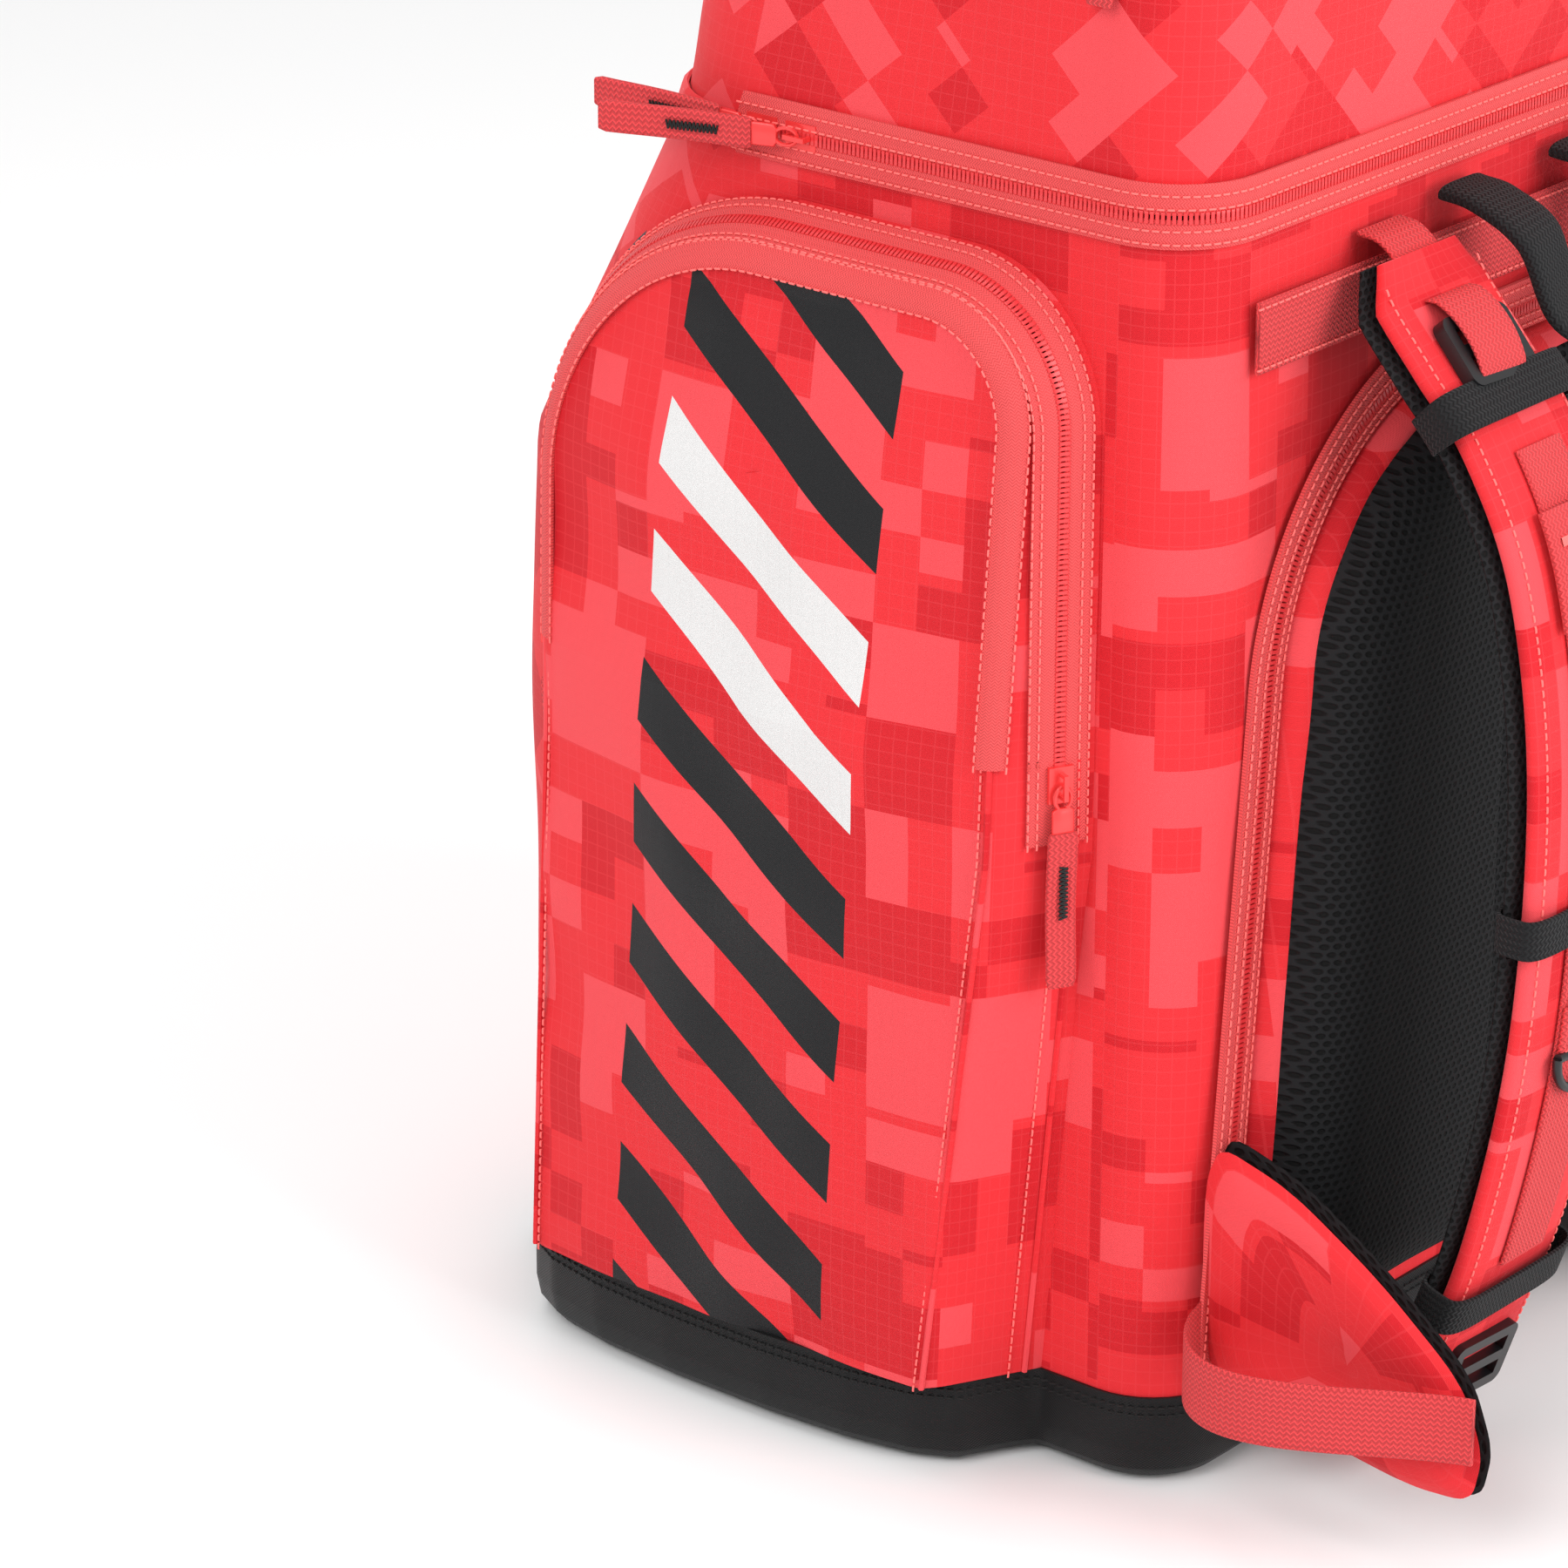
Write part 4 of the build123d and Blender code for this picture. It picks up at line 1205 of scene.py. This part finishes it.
belt_zip("main_zip", ZIP_Z, hi("main_zip_lower_tape")[1], "bag", "lid", "main_zip_lower_tape", "lid_zip_tapes")
belt_zip("cover_zip", COVER_Z, hi("cover_zip_tape")[1], "lid", "cover", None, "cover_zip_tape")


def front_lip(name, z, owner, zip_end):
    """A sewn lip on the lower part that covers the gap where no zip runs."""
    rows = []
    for t, lift in ((-0.008, 0.0002), (-0.0065, 0.0022), (-0.002, 0.0030), (0.002, 0.0030), (0.0034, 0.0016)):
        loop = np.roll(outline(z + t, lift), -BACK_START, axis=0)
        path = even_line(loop, 1200)
        path = path[path[:, 1] > zip_end]
        rows.append(np.column_stack([even_line(path, 220), np.full(220, z + t)]))
    piece = as_sheet(cloth(name, np.array(rows), SHELL, thickness=0.0012))
    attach(piece, owner)


front_lip("main_front_lip", ZIP_Z, "bag", hi("main_zip_lower_tape")[1] - 0.001)
front_lip("cover_front_lip", COVER_Z, "lid", hi("cover_zip_tape")[1] + 0.003)
print("belt zips made")

# %% Inside: the boot dividers
plates = []
for sx in (-1, 1):
    low, high = lo("boot_dividers"), hi("boot_dividers")
    y = np.linspace(low[1] + 0.002, high[1] - 0.002, 20)
    z = np.linspace(low[2] + 0.001, high[2] - 0.001, 24)
    x = sx * (high[0] - 0.0005)
    limit = np.interp(z, [0, FRONT_MID_Z, ZIP_Z], [FRONT_BASE, FRONT_MID, FRONT_ZIP]) - 0.006
    grid = np.array([[(x, min(b, limit[i]), a) for b in y] for i, a in enumerate(z)])
    plates.append(cloth(f"divider_{sx}", grid, LINING, thickness=0.0025, inside=np.array([0, 0, 0.2])))
dividers = as_sheet(joined("divider_cloth", plates))
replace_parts(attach(dividers, "bag"), "boot_dividers")

# %% [markdown]
# ## The back
# A stiff panel opens with its own zip. Two spacer-mesh pads stand on it with a sunken channel between them.


# %% Back panel, pads and zip
PANEL_LOW, PANEL_HIGH = lo("back_board")[2], hi("back_board")[2]
PANEL_BASE = hi("back_board")[0]
PANEL_TOP = PANEL_BASE - 0.028
PANEL_R = 0.090
BOARD = BACK - lo("back_board")[1]


def panel_half(z, grow=0.0):
    """Half of the back panel's width at a height, with its rounded top."""
    side = PANEL_BASE - (PANEL_BASE - PANEL_TOP) * (z - PANEL_LOW) / (PANEL_HIGH - PANEL_LOW)
    over = np.clip(z - (PANEL_HIGH - PANEL_R), 0, PANEL_R + grow)
    return side + grow - (PANEL_R - np.sqrt(np.maximum((PANEL_R + grow) ** 2 - over**2, 0)) + grow)


def panel_grid(grow, depth, x_parts=60, rows=70, low=PANEL_LOW):
    """A raised panel on the back: depth is a function of the place across and the height."""
    top = PANEL_HIGH + grow - 0.0005
    made = []
    for z in low + (top - low) * np.sin(np.linspace(0, math.pi / 2, rows)):
        half = panel_half(z, grow)
        u = np.linspace(-1, 1, x_parts)
        x = u * half
        rise = depth(x, z, half, top)
        made.append(np.column_stack([x, BACK - rise, np.full(x_parts, z)]))
    return np.array(made)


def rim_fall(x, z, half, low, top, width):
    """0 at the rim and 1 inside it."""
    near = np.minimum(np.minimum(half - np.abs(x), z - low), top - z)
    t = np.clip(near / width, 0, 1)
    return np.sqrt(1 - (1 - t) ** 2)


board = panel_grid(
    0.0, lambda x, z, half, top: 0.001 + (BOARD - 0.001) * rim_fall(x, z, half, PANEL_LOW, top, 0.012)
)
cover_cloth = cloth("back_panel_cover", board, SHELL, thickness=0.0025, uv=board[..., [0, 2]])
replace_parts(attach(as_sheet(cover_cloth), "bag"), "back_board")


def pad_rise(x, z, half, top):
    fall = rim_fall(x, z, half, PANEL_LOW + 0.006, top, 0.030)
    channel = np.clip((np.abs(x) - 0.019) / 0.016, 0, 1)
    step = channel * channel * (3 - 2 * channel)
    full = 0.0305 + 0.005 * math.sin(math.pi * (z - PANEL_LOW) / (top - PANEL_LOW))
    return BOARD - 0.002 + (full - BOARD) * fall * (0.32 + 0.68 * step)


pads = panel_grid(-0.006, pad_rise, 84, 84, PANEL_LOW + 0.004)
pads = pads + facing_out(pads) * 0.0012 * ripple(pads, (24, 24, 16), 44.0)
mesh_pads = cloth("mesh_pads", pads, MESH, thickness=0.004, uv=pads[..., [0, 2]])
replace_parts(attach(as_sheet(mesh_pads), "bag"), "back_mesh")


def panel_edge(grow, lift, count=260):
    """An arch round the panel from its left foot over the top to its right foot."""
    z = PANEL_LOW + (PANEL_HIGH + grow - PANEL_LOW) * np.sin(np.linspace(0, math.pi / 2, 90))
    half = np.array([panel_half(v, grow) for v in z])
    path = np.vstack([np.column_stack([-half, z]), np.column_stack([half, z])[::-1]])
    path = even_line(path, count)
    return np.column_stack([path[:, 0], np.full(count, BACK - lift), path[:, 1]])


made, threads = [], []
for g0, g1 in ((0.0004, 0.0066), (0.0092, 0.0182)):
    strip = np.array([panel_edge(g, 0.0052) for g in np.linspace(g0, g1, 4)])
    made.append(cloth(f"panel_tape_{g0}", strip, TAPE_CLOTH, thickness=0.0016))
    threads += [panel_edge(g0 + (g1 - g0) * k, 0.0055) for k in (0.25, 0.75)]
tape = as_sheet(joined("panel_zip_tape", made))
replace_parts(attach(tape, "bag"), "back_zip_tapes")
sewn = repeated("panel_zip_stitches", threads, [(0, -1, 0)] * len(threads), STITCH, SEAM_PITCH, THREAD)
coil = repeated("panel_zip_coil", [panel_edge(0.0079, 0.0048)], [(0, -1, 0)], TOOTH, TOOTH_PITCH, COIL)
for piece in (sewn, coil):
    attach(piece, "bag")
print("back made")

# %% [markdown]
# ## Harness
# Each strap is a stuffed pad over a wider mesh lining, with webbing, elastic keepers and two ladder locks
# on it.


# %% Shoulder straps
STRAP_TOP = hi("strap_pad_left")[2]
STRAP_REACH = BACK - lo("strap_pad_left")[1]
STRAP_X = 0.076
KEEPER_HEIGHTS = (0.385, 0.223, 0.085)
ROLL = math.tan(math.radians(3))
STRAP_SHAPE = (
    (0.10, 1.0), (0.178, 0.967), (0.356, 0.921), (0.554, 0.870), (0.752, 0.779), (0.871, 0.628),
    (0.871, 0.428), (0.752, 0.251), (0.574, 0.121), (0.495, 0.065)
)
spine = smooth_line([(BACK - f * STRAP_REACH, h * STRAP_TOP) for f, h in STRAP_SHAPE], 130)
tangent = unit(np.gradient(spine, axis=0))
STRAP_OUT = np.column_stack([np.zeros(130), tangent[:, 1], -tangent[:, 0]])


def strap_line(sx, lift, first=0, last=130):
    """The strap's line at a height above its inner face, leaning out towards its foot."""
    y, z = spine[:, 0], spine[:, 1]
    base = np.column_stack([-STRAP_X - (STRAP_TOP - z) * ROLL, y, z]) + STRAP_OUT * lift
    out = mirror_points(STRAP_OUT, sx)[first:last]
    return mirror_points(base, sx)[first:last], out


def at_height(z):
    return int(np.argmin(np.abs(spine[:, 1] - z)))


def zigzag(name, centre, side, along, width, length, turns, material=None, radius=0.0005):
    """A bartack: one thread laid to and fro."""
    points = [
        centre + side * width / 2 * (-1) ** k + along * length * (k / turns - 0.5) for k in range(turns + 1)
    ]
    line = np.array(points)
    normal = np.cross(side, along)
    return swept(name, line, along, normal, round_section(radius, 5), material or BLACK_THREAD)


for side, sx in (("left", 1), ("right", -1)):
    body_name = f"strap_{side}"
    line, out = strap_line(sx, 0.0092)
    taper = np.ones((130, 2))
    taper[:6] *= np.linspace(0.7, 1, 6)[:, None]
    taper[-10:] *= np.linspace(1, 0.7, 10)[:, None]
    pad = swept(f"shoulder_pad_{side}", line, (1, 0, 0), out, pad_section(0.061, 0.0098), SHELL, scale=taper)
    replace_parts(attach(pad, body_name), f"strap_pad_{side}")
    line, out = strap_line(sx, 0.0026)
    lining = swept(
        f"shoulder_mesh_{side}", line, (1, 0, 0), out, pad_section(0.067, 0.0052), MESH, scale=taper
    )
    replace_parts(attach(lining, body_name), f"strap_lining_{side}")
    edges = []
    normals = []
    for across in (-0.0262, 0.0262):
        line, out = strap_line(sx, 0.0128, 3, 126)
        edges.append(line + np.array([across, 0, 0]))
        normals.append(out)
    sewn = repeated(f"shoulder_stitches_{side}", edges, normals, STITCH, EDGE_PITCH, THREAD)
    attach(sewn, body_name)
    a, b = at_height(0.372), at_height(0.094)
    parts = []
    line, out = strap_line(sx, 0.0152, a, b)
    parts.append(swept("runner", line, (1, 0, 0), out, band_section(0.025, 0.0017), WEBBING))
    mid = at_height(0.335)
    line, out = strap_line(sx, 0.0172, mid - 6, mid + 6)
    parts.append(swept("folded_tail", line, (1, 0, 0), out, band_section(0.032, 0.0024), WEBBING))
    mid = at_height(0.184)
    line, out = strap_line(sx, 0.0170, mid - 3, mid + 3)
    parts.append(swept("ring_tab", line, (1, 0, 0), out, band_section(0.025, 0.0020), WEBBING))
    foot = spine[-1]
    drop = lo(f"strap_webbing_{side}")[2]
    foot_x = -sx * (STRAP_X + (STRAP_TOP - drop) * ROLL)
    line = smooth_line(
        [
            (foot[0] - 0.006, foot[1] + 0.016), (foot[0] - 0.002, drop + 0.006),
            (foot[0] + 0.012, drop + 0.001), (BACK - 0.004, drop + 0.001)
        ],
        30
    )
    tan = unit(np.gradient(line, axis=0))
    parts.append(
        swept(
            "foot_web", np.column_stack([np.full(30, foot_x), line]), (1, 0, 0),
            np.column_stack([np.zeros(30), tan[:, 1], -tan[:, 0]]), band_section(0.025, 0.0017), WEBBING
        )
    )
    top_i, low_i = at_height(0.412), at_height(0.384)
    line, out = strap_line(sx, 0.0, top_i, low_i)
    over = 0.0150 + 0.0066 * np.sin(np.linspace(0, math.pi, len(line))) ** 0.5
    parts.append(
        swept("lock_web", line + out * over[:, None], (1, 0, 0), out, band_section(0.025, 0.0016), WEBBING)
    )
    webbing = as_sheet(joined(f"strap_webbing_run_{side}", parts))
    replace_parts(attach(webbing, body_name), f"strap_webbing_{side}")
    tacks = []
    for z, lift in ((0.345, 0.0186), (0.322, 0.0186), (0.192, 0.0182), (0.176, 0.0182)):
        i = at_height(z)
        line, out = strap_line(sx, lift)
        tacks.append(
            zigzag(
                "tack", line[i], np.array([1.0, 0, 0]), unit(line[i + 1] - line[i]), 0.021, 0.0026, 24,
                THREAD, 0.0004
            )
        )
    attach(joined(f"strap_tacks_{side}", tacks), body_name)
    loops = []
    for z in KEEPER_HEIGHTS:
        i = at_height(z)
        line, out = strap_line(sx, 0.0078, i - 2, i + 3)
        ring = [
            (
                0.0365 * np.sign(math.cos(a)) * abs(math.cos(a)) ** 0.35,
                0.0102 * np.sign(math.sin(a)) * abs(math.sin(a)) ** 0.5
            ) for a in np.linspace(0, 2 * math.pi, 48, endpoint=False)
        ]
        across = np.array([[p, 0, 0] for p, _ in ring])
        rise = np.array([q for _, q in ring])[:, None]
        grid = np.array([line[k] + across + rise * out[k] for k in range(len(line))])
        loops.append(cloth("keeper", grid, BLACK_WEB, thickness=0.0012, closed=True, inside=line.mean(0)))
    keepers = as_sheet(joined(f"elastic_keepers_{side}", loops))
    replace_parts(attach(keepers, body_name), f"strap_keepers_{side}")
print("straps made")

# %% Webbing on the back, with the strap anchors
parts = []
low, high = lo("back_webbing"), hi("back_webbing")
edge = -low[0]
xs = np.linspace(-edge, edge, 60)
level = STRAP_TOP - 0.0125
parts.append(
    swept(
        "cross_web", np.column_stack([xs, np.full(60, BACK - 0.0044), np.full(60, level)]), (0, 0, 1),
        (0, -1, 0), band_section(0.025, 0.0018), WEBBING
    )
)
for sx in (-1, 1):
    head = [
        (BACK - 0.003, STRAP_TOP + 0.010), (BACK - 0.012, STRAP_TOP + 0.0085),
        (BACK - 0.021, STRAP_TOP + 0.0005), (BACK - 0.030, STRAP_TOP - 0.014)
    ]
    line = smooth_line(head, 24)
    tan = unit(np.gradient(line, axis=0))
    parts.append(
        swept(
            "head_web", np.column_stack([np.full(24, sx * STRAP_X), line]), (1, 0, 0),
            np.column_stack([np.zeros(24), tan[:, 1], -tan[:, 0]]), band_section(0.025, 0.0018), WEBBING
        )
    )
    foot_x = sx * (STRAP_X + (STRAP_TOP - 0.018) * ROLL)
    line = np.array([(foot_x, y, 0.0140) for y in np.linspace(BACK - 0.003, BACK - 0.022, 8)])
    parts.append(swept("foot_anchor", line, (1, 0, 0), (0, 0, -1), band_section(0.025, 0.0022), WEBBING))
cross = as_sheet(joined("back_cross_webbing", parts))
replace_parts(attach(cross, "bag"), "back_webbing")
lines = [
    np.column_stack([xs, np.full(60, BACK - 0.0056), np.full(60, level + dz)]) for dz in (-0.0105, 0.0105)
]
sewn = repeated("back_webbing_stitches", lines, [(0, -1, 0)] * 2, STITCH, EDGE_PITCH, THREAD)
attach(sewn, "bag")

# %% Haul handle
low, high = lo("haul_handle"), hi("haul_handle")
radius = 0.0055
half, top = high[0] - radius, high[2] - radius
far, drop = low[1] + radius, low[2] + radius
line = smooth_line(
    [
        (-half, BACK - 0.006, top), (-half, BACK - 0.020, top - 0.002),
        (-half + 0.001, far + 0.006, top - 0.012), (-half + 0.007, far, drop + 0.008),
        (-half + 0.020, far, drop), (0, far, drop - 0.0005), (half - 0.020, far, drop),
        (half - 0.007, far, drop + 0.008), (half - 0.001, far + 0.006, top - 0.012),
        (half, BACK - 0.020, top - 0.002), (half, BACK - 0.006, top)
    ],
    110
)
tan = unit(np.gradient(line, axis=0))
side = unit(np.cross(tan, (0.0, -0.6, 0.8)))
handle = swept("woven_handle", line, side, np.cross(tan, side), pad_section(0.026, 0.0062, 10), BLACK_WEB)
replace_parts(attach(handle, "haul_handle"), "haul_handle")
print("handle made")


# %% Hip wings
def pillow(name, ring, place, thick, material, parts=9):
    """A flat stuffed piece from its outline: both faces swell from a sewn edge."""
    middle = ring.mean(0)
    rows = []
    for sign in (1, -1):
        shares = np.linspace(0, 1, parts) if sign == 1 else np.linspace(1, 0, parts)[1:]
        for share in shares:
            flat = middle + (ring - middle) * share
            rise = sign * thick / 2 * (1 - share**6) ** 0.5
            rows.append(np.array([place(p, rise) for p in flat]))
    points = np.array(rows)
    mesh = bare_grid(name, points, closed=True, inside=points.reshape(-1, 3).mean(0))
    return finish_mesh(mesh, name, material)


for side, sx in (("left", 1), ("right", -1)):
    low, high = lo(f"hip_wing_{side}"), hi(f"hip_wing_{side}")
    y0, y1, z0, z1 = high[1], low[1], low[2] + 0.014, high[2]
    span, tall = y0 - y1, z1 - z0
    ring = [
        (y0, z0), (y0, z1), (y0 - span * 0.30, z0 + tall * 0.90), (y0 - span * 0.62, z0 + tall * 0.66),
        (y0 - span * 0.92, z0 + tall * 0.36), (y1, z0 + tall * 0.10), (y1 + 0.004, z0 - 0.010),
        (y0 - span * 0.75, z0 - 0.012), (y0 - span * 0.4, z0 - 0.006)
    ]
    loop = np.array(ring)
    for _ in range(3):
        after = np.roll(loop, -1, 0)
        loop = np.stack([loop * 0.82 + after * 0.18, loop * 0.18 + after * 0.82], 1).reshape(-1, 2)
    x_out = max(abs(low[0]), abs(high[0]))
    wing = pillow(
        f"wing_pad_{side}", loop, lambda p, rise: (-sx * (x_out - 0.0050 + rise), p[0], p[1]), 0.0100, SHELL
    )
    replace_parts(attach(wing, f"wing_{side}"), f"hip_wing_{side}")
    wide = loop.mean(0) + (loop - loop.mean(0)) * np.array([1.0, 1.03])
    wide[:, 0] = np.minimum(wide[:, 0], y0)
    lining = pillow(
        f"wing_mesh_{side}", wide, lambda p, rise: (-sx * (x_out - 0.0112 + rise), p[0], p[1]), 0.0046, MESH
    )
    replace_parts(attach(lining, f"wing_{side}"), f"hip_wing_lining_{side}")
    low, high = lo(f"hip_webbing_{side}"), hi(f"hip_webbing_{side}")
    middle_z = (low[2] + high[2]) / 2
    ys = np.linspace(high[1], low[1], 40)
    bow = x_out + 0.0016 + 0.036 * np.sin(np.linspace(0, 1, 40) ** 0.6 * math.pi) ** 1.2
    line = np.column_stack([-sx * bow, ys, np.full(40, middle_z)])
    web = as_sheet(
        swept(f"hip_web_{side}", line, (0, 0, 1), (-sx, 0, 0), band_section(0.025, 0.0018), WEBBING)
    )
    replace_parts(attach(web, f"wing_{side}"), f"hip_webbing_{side}")
print("wings made")

# %% [markdown]
# ## Pulls
# Every slider carries a small lacquered pull with a folded webbing tag, sewn with a black zigzag.


# %% Pulls and tags
def build_pull(name, body_name, hinge, along, out):
    side = np.cross(along, out)
    ring = [(0.0022 * math.cos(a), 0.0042 * math.sin(a)) for a in np.linspace(0, 2 * math.pi, 20)]
    loop = np.array([hinge + side * (x * 1.35) + along * (y + 0.0042) for x, y in ring])
    path = unit(np.gradient(loop, axis=0))
    bail = swept("bail", loop, np.cross(path, out), out, round_section(0.0007, 6), LACQUER)
    plate = swept(
        "plate", np.array([hinge + along * t for t in (0.0075, 0.0085, 0.018, 0.021)]), side, out,
        strip_section(0.008, 0.0016), LACQUER, scale=[(0.6, 1), (1, 1), (1, 1), (0.85, 1)]
    )
    metal = joined(f"{name}_metal", [bail, plate])
    steps = np.linspace(0.0165, 0.0728, 22)
    bend = 0.0006 * np.sin(steps * 110)
    line = hinge + along * steps[:, None] + out * bend[:, None]
    shape = np.ones((22, 2))
    shape[0] = (0.9, 0.8)
    shape[-1] = (0.86, 0.7)
    tag = as_sheet(
        swept(f"{name}_tag", line, side, out, band_section(0.011, 0.0026), WEBBING, scale=shape)
    )
    tacks = [
        zigzag(
            "tack", hinge + along * 0.038 + out * lift, side, along, 0.0032, 0.019, 26, BLACK_THREAD,
            0.00042
        ) for lift in (0.0016, -0.0016)
    ]
    tack = joined(f"{name}_tacks", tacks)
    for piece, label in ((metal, "coral_metal"), (tag, "webbing"), (tack, "black_webbing")):
        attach(piece, body_name)
    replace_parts(tag, name)


cs, sn = 1 / math.hypot(1, SPLAY), SPLAY / math.hypot(1, SPLAY)
for side, sx in (("left", 1), ("right", -1)):
    for end, sign in (("back", -1), ("front", 1)):
        name = f"pocket_pull_{end}_{side}"
        low, high = lo(name), hi(name)
        hinge = np.array([(low[0] + high[0]) / 2, (low[1] + high[1]) / 2, high[2] - 0.0006])
        build_pull(name, name, hinge, np.array([0.0, 0, -1]), np.array([-sx * sn, sign * cs, 0]))
for k, lift in ((1, 0.0), (2, 17.0)):
    low, high = lo(f"main_pull_{k}"), hi(f"main_pull_{k}")
    c, s = math.cos(math.radians(lift)), math.sin(math.radians(lift))
    hinge = np.array([high[0] - 0.0012, low[1] + 0.0006, (low[2] + high[2]) / 2])
    build_pull(f"main_pull_{k}", f"main_pull_{k}", hinge, np.array([-s, c, 0]), np.array([-c, -s, 0]))
    low, high = lo(f"top_pull_{k}"), hi(f"top_pull_{k}")
    c, s = math.cos(math.radians(3)), math.sin(math.radians(3))
    hinge = np.array([high[0] - 0.0012, (low[1] + high[1]) / 2, high[2] - 0.0006])
    build_pull(f"top_pull_{k}", f"top_pull_{k}", hinge, np.array([-s, 0, -c]), np.array([-c, 0, s]))
low, high = lo("back_zip_pull"), hi("back_zip_pull")
lean = math.atan2(PANEL_BASE - PANEL_TOP, PANEL_HIGH - PANEL_LOW)
hinge = np.array([low[0] + 0.0045, (low[1] + high[1]) / 2, high[2] - 0.0008])
build_pull(
    "back_zip_pull", "back_pull", hinge, np.array([math.sin(lean), 0, -math.cos(lean)]),
    np.array([0, -1.0, 0])
)
print("pulls made")

# %% Hard fittings keep their solid shape
for name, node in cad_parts.items():
    if "slider" in name or "buckles" in name or "d_ring" in name:
        finish = LACQUER if "slider" in name else ACETAL
        for index in range(len(node.material_slots)):
            node.material_slots[index].material = finish
print("fittings finished")

# %% [markdown]
# ## Picture
# A plain pale floor and wall of light, soft lamps from the left and above, and a long lens from the harness
# side's left.

# %% Floor, lamps and camera
floor_mesh = bpy.data.meshes.new("floor")
floor_mesh.from_pydata([(-6, -6, 0), (6, -6, 0), (6, 6, 0), (-6, 6, 0)], [], [(0, 1, 2, 3)])
floor_mesh.materials.append(new_material("floor", (0.86, 0.86, 0.86), 0.8)[0])
floor = bpy.data.objects.new("floor", floor_mesh)
floor.location.z = -0.0005
scene.collection.objects.link(floor)
world = bpy.data.worlds.new("light")
world.use_nodes = True
world.node_tree.nodes["Background"].inputs[0].default_value = (1, 1, 1, 1)
world.node_tree.nodes["Background"].inputs[1].default_value = 0.75
scene.world = world


def lamp(name, place, aim, power, size):
    data = bpy.data.lights.new(name, "AREA")
    data.energy, data.size = power, size
    obj = bpy.data.objects.new(name, data)
    obj.location = place
    obj.rotation_euler = (Vector(aim) - Vector(place)).to_track_quat("-Z", "Y").to_euler()
    scene.collection.objects.link(obj)


lamp("key", (-2.2, -0.3, 1.9), (0, 0, 0.3), 34, 1.6)
lamp("fill", (0.2, -2.4, 1.3), (0, 0, 0.3), 52, 1.8)
lamp("top", (0.2, 0.4, 2.8), (0, 0, 0.3), 24, 1.8)

VIEW_AZ, VIEW_EL, VIEW_FAR = math.radians(-50.0), math.radians(22), 2.3
aim = Vector((-0.190, 0.010, 0.232))
back = Vector(
    (math.sin(VIEW_AZ) * math.cos(VIEW_EL), -math.cos(VIEW_AZ) * math.cos(VIEW_EL), math.sin(VIEW_EL))
)
camera = bpy.data.objects.new("camera", bpy.data.cameras.new("camera"))
camera.data.sensor_width = 36
camera.data.lens = 152
camera.location = aim + back * VIEW_FAR
camera.rotation_euler = (-back).to_track_quat("-Z", "Y").to_euler()
scene.collection.objects.link(camera)
scene.camera = camera
scene.view_settings.view_transform = "Standard"
